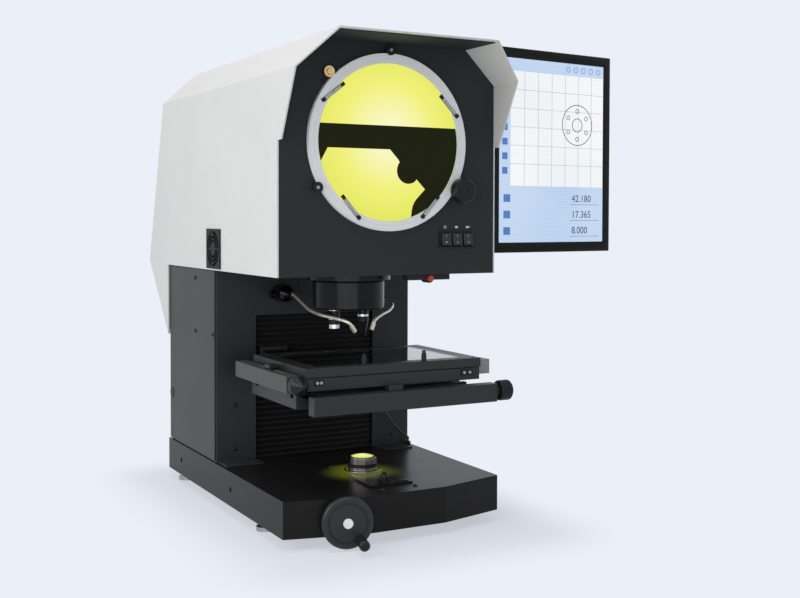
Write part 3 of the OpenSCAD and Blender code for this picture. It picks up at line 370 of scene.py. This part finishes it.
finishes = {baseEnamel: "base_casting illuminator_plate", footSteel: "levelling_feet",
            innerSteel: "lamp_house handwheel_shaft lift_gearbox lift_screw",
            blackChrome: "condenser_barrel", lensGlow: "condenser_lens",
            blackOxide: "helix_lever stage_pins chart_clips light_guide_sockets",
            wheelPlastic: "handwheel", hubAcetal: "hub_cap",
            knobAcetal: "crank_grip x_knob y_knob switch_bezel roller_top roller_left screen_knob",
            columnPaint: "column_frame column_side_covers column_rear_cover monitor_bracket monitor_arm",
            bellowsCloth: "bellows_upper bellows_lower",
            stageAnodised: "lift_carriage stage_bracket x_drive_housing x_slide stage_frame",
            coverPaint: "y_drive_housing", tableGlass: "stage_glass", readerAnodised: "read_head",
            panelPaint: "head_floor front_panel", hoodPaint: "hood", mirrorSilver: "mirrors",
            rockerPlastic: "rocker_power rocker_profile rocker_surface", ringAluminium: "screen_ring",
            screenGlow: "screen_glass", wheelBrass: "encoder_wheel",
            turretBlack: "turret_flange turret_body objective_main objective_spare",
            guideSteel: "light_guide_left light_guide_right",
            monitorPlastic: "fan_frame fan_impeller monitor_case power_inlet",
            redPlastic: "release_button", paperPixels: "monitor_display", cableJacket: "stage_cable"}
for material, names in finishes.items():
    for name in names.split():
        nodes[name].data.materials.clear()
        nodes[name].data.materials.append(material)
print(len(finishes), "finishes given to the solids")


# folded and cast edges catch a line of light
roundEdges = {"column_frame": 1.0, "column_side_covers": 1.0, "column_rear_cover": 1.5, "stage_frame": 1.0,
              "stage_bracket": 1.2, "x_drive_housing": 1.2, "x_slide": 0.8, "y_drive_housing": 1.2,
              "monitor_case": 2.5, "read_head": 1.0, "monitor_bracket": 1.0}


def softenEdges(name, width):
    solid = nodes[name]
    weld = solid.modifiers.new("joinTriangles", "WELD")
    weld.merge_threshold = 0.00002
    flat = solid.modifiers.new("wholeFaces", "DECIMATE")
    flat.decimate_type, flat.angle_limit = "DISSOLVE", math.radians(0.4)
    edge = solid.modifiers.new("edgeRound", "BEVEL")
    edge.width, edge.segments, edge.limit_method = width / 1000, 3, "ANGLE"
    edge.angle_limit, edge.use_clamp_overlap = math.radians(40), False


for name, width in roundEdges.items():
    softenEdges(name, width)
print("edges softened on", len(roundEdges), "solids")


# closes a bmesh into an object that rides on a body, with its place in its mesh
def finishPiece(bm, name, material, body=None, sharp=35, place=None):
    if place:
        bmesh.ops.transform(bm, matrix=place, verts=bm.verts)
    bmesh.ops.remove_doubles(bm, verts=bm.verts, dist=1e-6)
    bmesh.ops.recalc_face_normals(bm, faces=bm.faces)
    mesh = bpy.data.meshes.new(name)
    bm.to_mesh(mesh)
    bm.free()
    mesh.shade_smooth()
    mesh.set_sharp_from_angle(angle=math.radians(sharp))
    mesh.materials.append(material)
    piece = bpy.data.objects.new(name, mesh)
    scene.collection.objects.link(piece)
    if body:
        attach(piece, body)
    return piece


toFront, toRear, toTop = (0, -1, 0), (0, 1, 0), (0, 0, 1)


# turns a half outline of (radius, height) in mm about an axis through a point. One that starts on the
# axis is closed by a flat end, and any other by a wall back to its start
def latheInto(bm, outline, point, axis, steps=32):
    axis = Vector(axis).normalized()
    across = axis.orthogonal().normalized()
    origin = Vector(point) / 1000
    last = (0, outline[-1][1]) if outline[0][0] == 0 else outline[0]
    line = [bm.verts.new(origin + across * (r / 1000) + axis * (h / 1000)) for r, h in [*outline, last]]
    edges = [bm.edges.new(pair) for pair in zip(line, line[1:])]
    bmesh.ops.spin(bm, geom=line + edges, cent=origin, axis=axis, angle=math.tau, steps=steps, use_merge=True)


def boxInto(bm, low, high, rounding=0.0, segments=2):
    low, high = Vector(low) / 1000, Vector(high) / 1000
    made = bmesh.ops.create_cube(bm, size=1.0)["verts"]
    bmesh.ops.scale(bm, vec=high - low, verts=made)
    bmesh.ops.translate(bm, vec=(low + high) / 2, verts=made)
    if rounding:
        edges = list({e for v in made for e in v.link_edges})
        bmesh.ops.bevel(bm, geom=edges, offset=rounding / 1000, segments=segments, profile=0.5,
                        affect="EDGES", material=-1)


# one piece made of turned fittings of one outline, each at its own (place, axis)
def turnPieces(name, fitting, material, body, steps=24):
    bm = bmesh.new()
    for place, axis in fitting["spots"]:
        latheInto(bm, fitting["outline"], place, axis, steps)
    finishPiece(bm, name, material, body)


# the mesh that a curve or a line of text makes
def meshOf(curve):
    holder = bpy.data.objects.new(curve.name, curve)
    scene.collection.objects.link(holder)
    bpy.context.view_layer.update()
    mesh = bpy.data.meshes.new_from_object(holder.evaluated_get(bpy.context.evaluated_depsgraph_get()))
    bpy.data.objects.remove(holder)
    return mesh


# the stage's lead: rises from its gland in a shallow bow and ends in the stage bracket
stageLead = {"route": [(223, -46, 100.4), (223, -46, 104.5), (223, -46, 109), (214, -46.5, 116),
                       (192, -50, 134), (168, -55, 161), (144, -60, 193), (127, -63.5, 217),
                       (120, -66, 233), (120, -66, 238), (120, -66, 241.6)],
             "thick": 4.4, "between": 4, "rounding": 4}


def hangLead(lead):
    stops = [Vector(p) / 1000 for p in lead["route"]]
    path = []
    for i in range(len(stops) - 1):
        a, b, c, d = stops[max(i - 1, 0)], stops[i], stops[i + 1], stops[min(i + 2, len(stops) - 1)]
        for k in range(lead["between"]):
            t = k / lead["between"]
            path.append(0.5 * (2 * b + t * (c - a) + t * t * (2 * a - 5 * b + 4 * c - d)
                               + t ** 3 * (3 * b - a - 3 * c + d)))
    path.append(stops[-1])
    line = bpy.data.curves.new("leadLine", "CURVE")
    line.dimensions, line.use_fill_caps = "3D", True
    line.bevel_depth, line.bevel_resolution = lead["thick"] / 2000, lead["rounding"]
    spline = line.splines.new("POLY")
    spline.points.add(len(path) - 1)
    for point, place in zip(spline.points, path):
        point.co = (*place, 1)
    mesh = meshOf(line)
    mesh.shade_smooth()
    mesh.materials.clear()
    mesh.materials.append(cableJacket)
    piece = bpy.data.objects.new("stageLead", mesh)
    scene.collection.objects.link(piece)
    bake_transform(piece)
    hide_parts("stage_cable")


hangLead(stageLead)


# bellows: each copies its solid's folds, with the crease lines rounded over as the coated cloth is
bellowsSet = {"bellows_lower": {"fixed": 0.092, "moving": 0.244},
              "bellows_upper": {"fixed": 0.400, "moving": 0.286}}
foldLimits = {"join": 1e-5, "flat": 0.01, "crease": 0.3, "rounding": 0.0007}


def foldBellows(name, limits):
    bm = bmesh.new()
    bm.from_mesh(nodes[name].data)
    bmesh.ops.remove_doubles(bm, verts=bm.verts, dist=limits["join"])
    bmesh.ops.dissolve_limit(bm, angle_limit=limits["flat"], verts=bm.verts, edges=bm.edges)
    creases = [e for e in bm.edges if len(e.link_faces) == 2 and e.calc_face_angle() > limits["crease"]]
    bmesh.ops.bevel(bm, geom=creases, offset=limits["rounding"], segments=3, profile=0.5, affect="EDGES",
                    material=-1, clamp_overlap=True)
    piece = finishPiece(bm, name + "Cloth", bellowsCloth, sharp=50)
    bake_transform(piece)
    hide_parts(name)


for name, ends in bellowsSet.items():
    foldBellows(name, foldLimits)
print("bellows folded")


# button head screws on the column's front flanges, side covers and rear cover
coverFace = 232.5
columnScrews = {"outline": [(0, 0.9), (1.5, 0.9), (1.7, 2.6), (2.6, 2.5), (4.0, 1.7), (4.8, 0.4), (4.9, 0),
                            (4.9, -0.6)],
                "spots": [((s * 188, -30, z), toFront) for s in (-1, 1) for z in (118, 212)]
                + [((s * coverFace, y, z), (s, 0, 0))
                   for s in (-1, 1) for y, z in ((97, 477), (97, 361), (-19, 362))]
                + [((s * 214, 284, z), toRear) for s in (-1, 1) for z in (112, 298, 484)]}
turnPieces("columnScrews", columnScrews, blackOxide, "frame")

# black plugs in the base's four lifting holes, each a little below the face
liftPlugs = {"outline": [(0, -2.6), (2.4, -2.6), (2.6, -1.4), (5.4, -1.4), (6.05, -1.9), (6.05, -6.5)],
             "spots": [((s * 233, y, 56), (s, 0, 0)) for s in (-1, 1) for y in (-125, 197)]}
turnPieces("liftPlugs", liftPlugs, blackOxide, "frame", 32)

# knurled grips: straight flutes round the stage's two drive knobs
xGrip = {"body": "x_knob", "axis": (1, 0, 0), "radius": 20.4, "length": 8.5, "flutes": 48, "depth": 0.8}
gripSet = {"xKnobFlutes": {**xGrip, "from": (236.2, -399, 263)},
           "xKnobTipFlutes": {**xGrip, "from": (247.6, -399, 263)},
           "yKnobFlutes": {"body": "y_knob", "axis": toFront, "from": (-203, -396.6, 302), "radius": 18.4,
                           "length": 9.5, "flutes": 44, "depth": 0.7}}


def cutFlutes(name, grip):
    bm = bmesh.new()
    turn = Vector(toTop).rotation_difference(Vector(grip["axis"])).to_matrix().to_4x4()
    ring = bmesh.ops.create_circle(bm, cap_ends=False, segments=grip["flutes"] * 3,
                                   radius=grip["radius"] / 1000)["verts"]
    low = [v for i, v in enumerate(ring) if i % 3 == 0]
    bmesh.ops.scale(bm, vec=[1 - grip["depth"] / grip["radius"]] * 3, verts=low)
    edges = list(bm.edges)
    for size, rise in ((1.0, grip["length"]), (0.9, 0), (1.0, -grip["length"])):
        made = bmesh.ops.extrude_edge_only(bm, edges=edges)["geom"]
        loop = [v for v in made if isinstance(v, bmesh.types.BMVert)]
        edges = [e for e in made if isinstance(e, bmesh.types.BMEdge)]
        bmesh.ops.translate(bm, vec=(0, 0, rise / 1000), verts=loop)
        bmesh.ops.scale(bm, vec=(size, size, 1), verts=loop)
    bottom = [e for e in bm.edges if e.is_boundary]
    bmesh.ops.bridge_loops(bm, edges=bottom)
    place = Matrix.Translation(Vector(grip["from"]) / 1000) @ turn
    finishPiece(bm, name, knobAcetal, grip["body"], 25, place)


for name, grip in gripSet.items():
    cutFlutes(name, grip)
print("screws and grips fitted")


# the image on the lit screen: an edge with a notch and a round boss, in shadow
shadowShape = {"centre": (-9, -389.0, 753), "reach": 149.6, "bar": (32, -13), "boss": (41, -53, 25),
               "bossTurn": (-52, -225, -12), "foot": -142, "rimSteps": 30, "leftTurn": (-12, 12, 4),
               "notch": [(48.5, -130), (50.5, -121), (55, -112), (62, -104), (78, -88), (59, -69)],
               "shoulder": (19, -32), "heel": (1, -130), "leftRim": -39, "lift": 0.25, "thin": 0.15}


def projectShadow(shape):
    cx, cy, cz = shape["centre"]
    reach, (top, under), (bx, bz, br) = shape["reach"], shape["bar"], shape["boss"]
    start, stop, steps = math.asin(top / reach), math.asin(shape["foot"] / reach), shape["rimSteps"]

    def leftRim(z):
        return -math.sqrt(reach ** 2 - z ** 2), z

    outline = [leftRim(top)]
    outline += [(reach * math.cos(a), reach * math.sin(a))
                for a in (start + (stop - start) * k / steps for k in range(steps + 1))]
    outline += shape["notch"]
    outline += [(bx + br * math.cos(math.radians(a)), bz + br * math.sin(math.radians(a)))
                for a in range(*shape["bossTurn"])]
    outline += [shape["shoulder"], *((x, under) for x in shape["heel"]), leftRim(shape["leftRim"])]
    outline += [(-reach * math.cos(a), reach * math.sin(a))
                for a in (math.radians(d) for d in range(*shape["leftTurn"]))]
    bm = bmesh.new()
    y = cy - shape["lift"]
    face = bm.faces.new([bm.verts.new(((cx + x) / 1000, y / 1000, (cz + z) / 1000)) for x, z in outline])
    made = bmesh.ops.extrude_face_region(bm, geom=[face])["geom"]
    bmesh.ops.translate(bm, vec=(0, shape["thin"] / 1000, 0),
                        verts=[v for v in made if isinstance(v, bmesh.types.BMVert)])
    bmesh.ops.triangulate(bm, faces=bm.faces)
    finishPiece(bm, "screenImage", screenShadow, "frame")


projectShadow(shadowShape)
print("screen image drawn")


# lamp switch marks above the rockers: a dot in a ring, a dot with an upright bar and a dot with two bars
switchMarks = {"z": 591.5, "face": -380, "thin": 0.15, "ring": (120.2, 2.6, 3.2),
               "columns": {120.2: {"dot": 1.2, "steps": 16, "bars": []},
                           145.5: {"dot": 2.4, "steps": 24, "bars": [(3.2, 4.2, -2.4, 2.4)]},
                           170.8: {"dot": 2.4, "steps": 24, "bars": [(2.8, 7.2, 0.4, 1.4),
                                                                     (2.8, 5.4, -1.6, -0.6)]}}}


def printMarks(marks):
    bm = bmesh.new()
    y, z, thin = marks["face"], marks["z"], marks["thin"]
    x, inner, outer = marks["ring"]
    latheInto(bm, [(inner, 0), (inner, thin), (outer, thin), (outer, 0)], (x, y, z), toFront, 24)
    for x, mark in marks["columns"].items():
        latheInto(bm, [(0, thin), (mark["dot"], thin), (mark["dot"], 0)], (x, y, z), toFront, mark["steps"])
        for x0, x1, low, high in mark["bars"]:
            boxInto(bm, (x + x0, y - thin, z + low), (x + x1, y, z + high))
    finishPiece(bm, "switchMarks", markInk, "frame")


printMarks(switchMarks)

# the stop screw by the brass wheel
stopScrew = {"outline": [(0, 1.0), (1.5, 1.0), (1.5, 3.4), (3.3, 3.4), (3.7, 3.0), (3.7, 0), (3.7, -1)],
             "spots": [((-145, -380, 864), toFront)]}
turnPieces("panelScrews", stopScrew, blackOxide, "frame")
print("panel marks and screws fitted")


# the monitor's picture: plain panels, a grid, a part outline and three readings, in mm from its middle
monitorPicture = {"half": (147, 191), "step": 0.25, "thin": 0.2, "head": 26, "foot": 118, "side": 30,
                  "join": 0.02, "tools": 7, "toolPitch": 30, "lamps": 5, "lampPitch": 22, "gridRows": 5,
                  "rowPitch": 38.5, "gridColumns": 6, "columnPitch": 38, "gridHalf": 0.3,
                  "flange": (70, 60), "circles": (44, 15), "bolts": 6, "boltCircle": 30,
                  "readings": ("42.180", "17.365", "8.000"), "readingPitch": 34,
                  "letters": {"size": 0.021, "thin": 0.0001, "rise": 0.0006}}


def screenMatrix():
    solid = nodes["monitor_display"].data
    front = max((p for p in solid.polygons if p.normal.y < -0.5), key=lambda p: p.area).normal.copy()
    deepest = max(v.co.dot(front) for v in solid.vertices)
    corners = [v.co for v in solid.vertices if v.co.dot(front) > deepest - 1e-5]
    middle = sum(corners, Vector()) / len(corners)
    up = Vector(toTop)
    across = up.cross(front).normalized()
    return Matrix.Translation(middle) @ Matrix((across, front, up)).transposed().to_4x4()


def drawPicture(picture):
    place = screenMatrix()
    width, height = picture["half"]
    head, foot, side = height - picture["head"], -height + picture["foot"], -width + picture["side"]
    join, line = picture["join"], picture["gridHalf"]
    layers = {"sky": (skyPixels, 1), "deep": (deepPixels, 2), "teal": (tealPixels, 2), "ink": (inkPixels, 2)}
    sheets = {key: bmesh.new() for key in layers}

    def panel(key, x0, x1, z0, z1):
        rise = picture["step"] * layers[key][1]
        boxInto(sheets[key], (x0, rise - picture["thin"], z0), (x1, rise, z1))

    def ring(key, x, z, r, wide=1.2):
        rise = picture["step"] * layers[key][1]
        low = rise - picture["thin"]
        latheInto(sheets[key], [(r - wide, low), (r - wide, rise), (r, rise), (r, low)], (x, 0, z), toRear,
                  48)

    panel("sky", -width, width, head, height)
    panel("sky", -width, width, -height, foot)
    panel("sky", -width, side, foot + join, head - join)
    for k in range(picture["tools"]):
        z = height - 60 - k * picture["toolPitch"]
        panel("deep", -width + 8, -width + 22, z, z + 14)
    for k in range(picture["lamps"]):
        ring("deep", width - 16 - k * picture["lampPitch"], height - 13, 6)
    for k in range(1, picture["gridRows"] + 1):
        z = head - k * picture["rowPitch"]
        panel("teal", side, width, z - line, z + line)
    for k in range(1, picture["gridColumns"] + 1):
        x = side + k * picture["columnPitch"]
        panel("teal", x - line, x + line, foot, head)
    x, z = picture["flange"]
    for r in picture["circles"]:
        ring("ink", x, z, r, 1.6)
    for k in range(picture["bolts"]):
        a = math.radians(60 * k + 30)
        ring("ink", x + picture["boltCircle"] * math.cos(a), z + picture["boltCircle"] * math.sin(a), 5, 1.4)
    for k in range(len(picture["readings"])):
        z = -height + 92 - k * picture["readingPitch"]
        panel("deep", -width + 12, -width + 30, z - 8, z + 8)
        panel("deep", width - 96, width - 12, z - 12.5, z - 11.5)
    for key, (material, _) in layers.items():
        finishPiece(sheets[key], key + "Picture", material, "monitor", place=place)
    for k, words in enumerate(picture["readings"]):
        spot = (width - 92, -height + 86 - k * picture["readingPitch"])
        writeReading("reading" + str(k + 1), words, spot, place, picture["letters"])


def writeReading(name, words, spot, place, style):
    letters = bpy.data.curves.new(name, "FONT")
    letters.body, letters.size, letters.extrude = words, style["size"], style["thin"]
    mesh = meshOf(letters)
    stand = Matrix(((1, 0, 0, spot[0] / 1000), (0, 0, 1, style["rise"]), (0, 1, 0, spot[1] / 1000),
                    (0, 0, 0, 1)))
    mesh.transform(place @ stand)
    bm = bmesh.new()
    bm.from_mesh(mesh)
    finishPiece(bm, name, inkPixels, "monitor")


drawPicture(monitorPicture)
print("monitor picture drawn")


# spring leaves of the four chart clips: bright strips on the black holders
clipLeaves = {"centre": (-9, -391, 753), "at": 158, "set": [(21, 113), (152, 246), (245, 245), (297, 111)],
              "low": (5, -1.9, -2.9), "high": (45, -1.1, 2.9), "rounding": 0.3}


def fitLeaves(leaves):
    bm = bmesh.new()
    for angle, lean in leaves["set"]:
        before = set(bm.verts)
        boxInto(bm, leaves["low"], leaves["high"], leaves["rounding"])
        place = (Matrix.Translation(Vector(leaves["centre"]) / 1000)
                 @ Matrix.Rotation(math.radians(-angle), 4, "Y")
                 @ Matrix.Translation((leaves["at"] / 1000, 0, 0))
                 @ Matrix.Rotation(math.radians(-lean), 4, "Y"))
        bmesh.ops.transform(bm, matrix=place, verts=[v for v in bm.verts if v not in before])
    finishPiece(bm, "clipLeaves", clipSteel, "screen")


fitLeaves(clipLeaves)

# bright bands on the two objectives, each from a low to a high edge at a radius
lensBands = {"wall": 1.4, "edge": 0.3,
             "lenses": {(4, -250, 0): [(410.2, 414.8, 11.7), (424.0, 427.8, 11.9)],
                        (-60, -250, 0): [(388.4, 396.6, 10.9), (406.2, 410.8, 11.7), (424.0, 427.8, 11.9)]}}


def fitBands(bands):
    bm = bmesh.new()
    wall, edge = bands["wall"], bands["edge"]
    for spot, rings in bands["lenses"].items():
        for low, high, r in rings:
            latheInto(bm, [(r - wall, low), (r - edge, low), (r, low + edge), (r, high - edge),
                           (r - edge, high), (r - wall, high)], spot, toTop, 48)
    finishPiece(bm, "lensBands", brightSteel, "turret")


fitBands(lensBands)

# the bright ring round the condenser
condenserRing = {"outline": [(33.6, 97.8), (33.6, 98.6), (34.0, 98.9), (36.8, 98.9), (37.2, 98.6),
                             (37.2, 97.6)], "spots": [((4, -250, 0), toTop)]}
turnPieces("condenserRing", condenserRing, brightSteel, "frame", 64)
print("clips, bands and ring fitted")

# clamp screw, locating strip and small screws in front of the condenser
plateFittings = {"outline": [(0, 17.5), (3.2, 17.5), (3.8, 16.9), (3.8, 14), (6.2, 14), (6.6, 13.4),
                             (6.6, 6.5), (6.2, 6), (4.2, 6), (4.2, 0), (4.2, -0.5)],
                 "post": (0, -353, 95.5), "screws": [(9, -368, 95.5), (42, -402, 92), (-31, -402, 92)],
                 "strip": ((12, -353), (43, -373)), "stripHalf": 3.5, "stripRise": (95.3, 98)}


def fitPlate(fittings):
    bm = bmesh.new()
    latheInto(bm, fittings["outline"], fittings["post"], toTop, 32)
    for spot in fittings["screws"]:
        latheInto(bm, columnScrews["outline"], spot, toTop, 24)
    finishPiece(bm, "plateScrews", blackOxide, "frame")
    bm = bmesh.new()
    (x0, y0), (x1, y1) = fittings["strip"]
    half, (low, high) = fittings["stripHalf"], fittings["stripRise"]
    boxInto(bm, (0, -half, low), (math.hypot(x1 - x0, y1 - y0), half, high), 0.5)
    turn = (Matrix.Translation((x0 / 1000, y0 / 1000, 0))
            @ Matrix.Rotation(math.atan2(y1 - y0, x1 - x0), 4, "Z"))
    finishPiece(bm, "plateStrip", blackOxide, "frame", place=turn)


fitPlate(plateFittings)

# end stops on the cross slide's front, each a small block with two socket screws
slideStops = {"blocks": [(-164, -146), (154, 181)], "z": (296.5, 308), "face": -386, "proud": 2.2,
              "sunk": 0.2, "outline": [(0, 0.6), (1.3, 0.6), (1.4, 1.6), (2.7, 1.6), (3.0, 1.3), (3.0, -0.4)],
              "screws": (-159, -151, 161, 174)}


def fitStops(stops):
    bm = bmesh.new()
    (low, high), y = stops["z"], stops["face"] - stops["proud"]
    for x0, x1 in stops["blocks"]:
        boxInto(bm, (x0, y, low), (x1, stops["face"] + stops["sunk"], high), 0.5)
    finishPiece(bm, "slideStops", blackOxide, "x_stage")
    spots = [((x, y, (low + high) / 2), toFront) for x in stops["screws"]]
    turnPieces("slideStopScrews", {"outline": stops["outline"], "spots": spots}, clipSteel, "x_stage", 20)


fitStops(slideStops)

# countersunk screws in the stage frame's corners and the middle of its sides
frameScrews = {"outline": [(0, -0.2), (1.4, -0.2), (1.5, 0.35), (3.2, 0.35), (3.5, 0.1), (3.5, -0.4)],
               "spots": [((x, y, 330), toTop) for x in (-172, -8, 188) for y in (-379, -137)]}
turnPieces("frameScrews", frameScrews, blackOxide, "y_stage", 20)

# off and on marks on the rockers, set on their sloping faces and tipped with them
rockerMarks = {"columns": {"power": 120.2, "profile": 145.5, "surface": 170.8}, "pivot": (-381, 567),
               "tip": -7, "ring": [(1.3, 0), (1.3, 0.12), (1.9, 0.12), (1.9, 0)], "ringAt": (0, -5.32, -6.6),
               "slope": (0, -1, -0.124), "bar": ((-0.35, -5.5, 5), (0.35, -5.25, 8.6))}


def markRocker(name, x, marks):
    bm = bmesh.new()
    latheInto(bm, marks["ring"], marks["ringAt"], marks["slope"], 20)
    boxInto(bm, *marks["bar"])
    y, z = marks["pivot"]
    place = (Matrix.Translation((x / 1000, y / 1000, z / 1000))
             @ Matrix.Rotation(math.radians(marks["tip"]), 4, "X"))
    finishPiece(bm, name + "RockerMarks", markInk, "rocker_" + name, place=place)


for name, x in rockerMarks["columns"].items():
    markRocker(name, x, rockerMarks)
print("stage and switch details fitted")

# hub of the screen's drive knob and the screws in its rollers
rollerScrew = [(0, 0.2), (1.2, 0.2), (1.3, 0.9), (2.8, 0.9), (3.2, 0.5), (3.2, -0.5)]
screenHubs = {"screen_knob": {"at": (146.9, 663), "finish": blackOxide,
                              "outline": [(0, -0.4), (2.0, -0.4), (2.2, 0.8), (4.6, 0.8), (5.2, 0.3),
                                          (5.2, -0.6)]},
              "roller_top": {"at": (-9, 928.3), "finish": clipSteel, "outline": rollerScrew},
              "roller_left": {"at": (-160.81, 665.35), "finish": clipSteel, "outline": rollerScrew}}
for body, hub in screenHubs.items():
    x, z = hub["at"]
    hub["spots"] = [((x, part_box(body)[0][1] * 1000, z), toFront)]
    turnPieces(body + "Hub", hub, hub["finish"], body, 32)

# side cover details: a plug, a slot and the seam in the column's front plate
columnDetails = {"outline": [(0, 0.6), (9.5, 0.6), (10.1, 1.5), (12.0, 1.2), (12.5, 0.4), (12.5, -0.4)],
                 "plug": (266, 202), "slot": (261, 116), "slotHalf": (2, 6), "slotDepth": (-0.1, 0.4),
                 "seam": ((-42.5, -30.2, 401), (-41.5, -29.9, 497))}


def detailColumn(details):
    bm = bmesh.new()
    (y, z), (wide, tall) = details["slot"], details["slotHalf"]
    for s in (-1, 1):
        latheInto(bm, details["outline"], (s * coverFace, *details["plug"]), (s, 0, 0), 40)
        x0, x1 = sorted(s * (coverFace + depth) for depth in details["slotDepth"])
        boxInto(bm, (x0, y - wide, z - tall), (x1, y + wide, z + tall), 0.1, 1)
    boxInto(bm, *details["seam"])
    finishPiece(bm, "columnDetails", blackOxide, "frame")


detailColumn(columnDetails)

# pressed louvres in the column's rear cover
rearLouvres = {"columns": (-140, -60), "rows": 9, "from": 250, "pitch": 16, "size": (60, 7),
               "y": (283.5, 286.4), "rounding": 1.4}


def pressLouvres(louvres):
    bm = bmesh.new()
    (wide, tall), (near, far) = louvres["size"], louvres["y"]
    for x in louvres["columns"]:
        for k in range(louvres["rows"]):
            z = louvres["from"] + k * louvres["pitch"]
            boxInto(bm, (x, near, z), (x + wide, far, z + tall), louvres["rounding"], 3)
    finishPiece(bm, "rearLouvres", columnPaint, "frame")


pressLouvres(rearLouvres)

# cooling slots in the monitor's back, in mm from the middle of its picture
monitorVents = {"rows": 10, "from": 70, "pitch": 8, "across": (6, 90), "y": (-40.9, -39.7), "tall": 3.4}


def ventMonitor(vents):
    bm = bmesh.new()
    back, front = vents["y"]
    for k in range(vents["rows"]):
        z = vents["from"] + k * vents["pitch"]
        for s in (-1, 1):
            x0, x1 = sorted(s * x for x in vents["across"])
            boxInto(bm, (x0, back, z), (x1, front, z + vents["tall"]), 0.5)
    finishPiece(bm, "monitorVents", monitorPlastic, "monitor", place=screenMatrix())


ventMonitor(monitorVents)
print("back details fitted")


# pale floor and backdrop of one colour, with soft lamps
studio = {"pale": "#ebeff8", "fill": 0.2, "fillColour": "#f4f6fa", "floor": "#e9edf6", "floorHalf": 14,
          "footprint": {"middle": (0, -0.105, 0), "half": (0.233, 0.39, 0), "fade": 0.2, "near": 0.6},
          "aim": (0, -0.1, 0.45),
          "lamps": {"keyLamp": {"place": (-3.45, -0.5, 1.9), "size": 2.6, "power": 63},
                    "topLamp": {"place": (-0.3, -0.5, 3.3), "size": 2.4, "power": 36},
                    "frontLamp": {"place": (-2.7, -2.8, 0.75), "size": 2.2, "power": 25},
                    "bounceLamp": {"place": (-0.6, -2.3, 0.1), "size": 1.5, "power": 10},
                    "rightLamp": {"place": (3.0, -1.2, 1.8), "size": 2.0, "power": 4}}}


def seenFactor(tree):
    path = addNode(tree, "LightPath")
    either = addNode(tree, "Math", {"operation": "MAXIMUM"},
                     {0: path.outputs["Is Camera Ray"], 1: path.outputs["Is Glossy Ray"]})
    return addNode(tree, "Math", {"operation": "MAXIMUM"},
                   {0: either.outputs["Value"], 1: path.outputs["Is Transmission Ray"]}).outputs["Value"]


def lightStudio(room):
    world = bpy.data.worlds.new("paleStudio")
    world.use_nodes = True
    tree = world.node_tree
    tree.nodes.clear()
    shown = addNode(tree, "Background", {}, {"Color": linear(room["pale"]), "Strength": 1.0})
    fill = addNode(tree, "Background", {},
                   {"Color": linear(room["fillColour"]), "Strength": room["fill"]})
    mixed = addNode(tree, "MixShader", {},
                    {0: seenFactor(tree), 1: fill.outputs[0], 2: shown.outputs[0]})
    addNode(tree, "OutputWorld", {}, {"Surface": mixed.outputs[0]})
    scene.world = world
    for name, lamp in room["lamps"].items():
        light = bpy.data.lights.new(name, "AREA")
        light.shape, light.size, light.energy = "DISK", lamp["size"], lamp["power"]
        holder = bpy.data.objects.new(name, light)
        scene.collection.objects.link(holder)
        holder.location = lamp["place"]
        holder.rotation_mode = "QUATERNION"
        holder.rotation_quaternion = (Vector(room["aim"]) - holder.location).to_track_quat("-Z", "Y")


# the floor is lit and shaded near the footprint, and fades into the backdrop's colour away from it
def layFloor(room):
    bm = bmesh.new()
    bmesh.ops.create_grid(bm, x_segments=2, y_segments=2, size=room["floorHalf"])
    mesh = bpy.data.meshes.new("studioFloor")
    bm.to_mesh(mesh)
    bm.free()
    material = bpy.data.materials.new("paleStudioFloor")
    material.use_nodes = True
    tree = material.node_tree
    tree.nodes.clear()
    place = addNode(tree, "TexCoord").outputs["Object"]
    ground = room["footprint"]
    middle = addNode(tree, "VectorMath", {"operation": "SUBTRACT"}, {0: place, 1: ground["middle"]})
    folded = addNode(tree, "VectorMath", {"operation": "ABSOLUTE"}, {0: middle.outputs["Vector"]})
    past = addNode(tree, "VectorMath", {"operation": "SUBTRACT"},
                   {0: folded.outputs["Vector"], 1: ground["half"]})
    outside = addNode(tree, "VectorMath", {"operation": "MAXIMUM"}, {0: past.outputs["Vector"]})
    far = addNode(tree, "VectorMath", {"operation": "LENGTH"}, {0: outside.outputs["Vector"]})
    fade = addNode(tree, "MapRange", {"interpolation_type": "SMOOTHSTEP"},
                   {"Value": far.outputs["Value"], "From Max": ground["fade"], "To Min": ground["near"]})
    factor = addNode(tree, "Math", {"operation": "MULTIPLY"},
                     {0: fade.outputs["Result"], 1: seenFactor(tree)})
    matt = addNode(tree, "BsdfDiffuse", {}, {"Color": linear(room["floor"])})
    pale = addNode(tree, "Emission", {}, {"Color": linear(room["pale"]), "Strength": 1.0})
    mixed = addNode(tree, "MixShader", {},
                    {0: factor.outputs["Value"], 1: matt.outputs[0], 2: pale.outputs[0]})
    addNode(tree, "OutputMaterial", {}, {"Surface": mixed.outputs[0]})
    mesh.materials.append(material)
    floor = bpy.data.objects.new("studioFloor", mesh)
    scene.collection.objects.link(floor)


lightStudio(studio)
layFloor(studio)
print("studio lit")
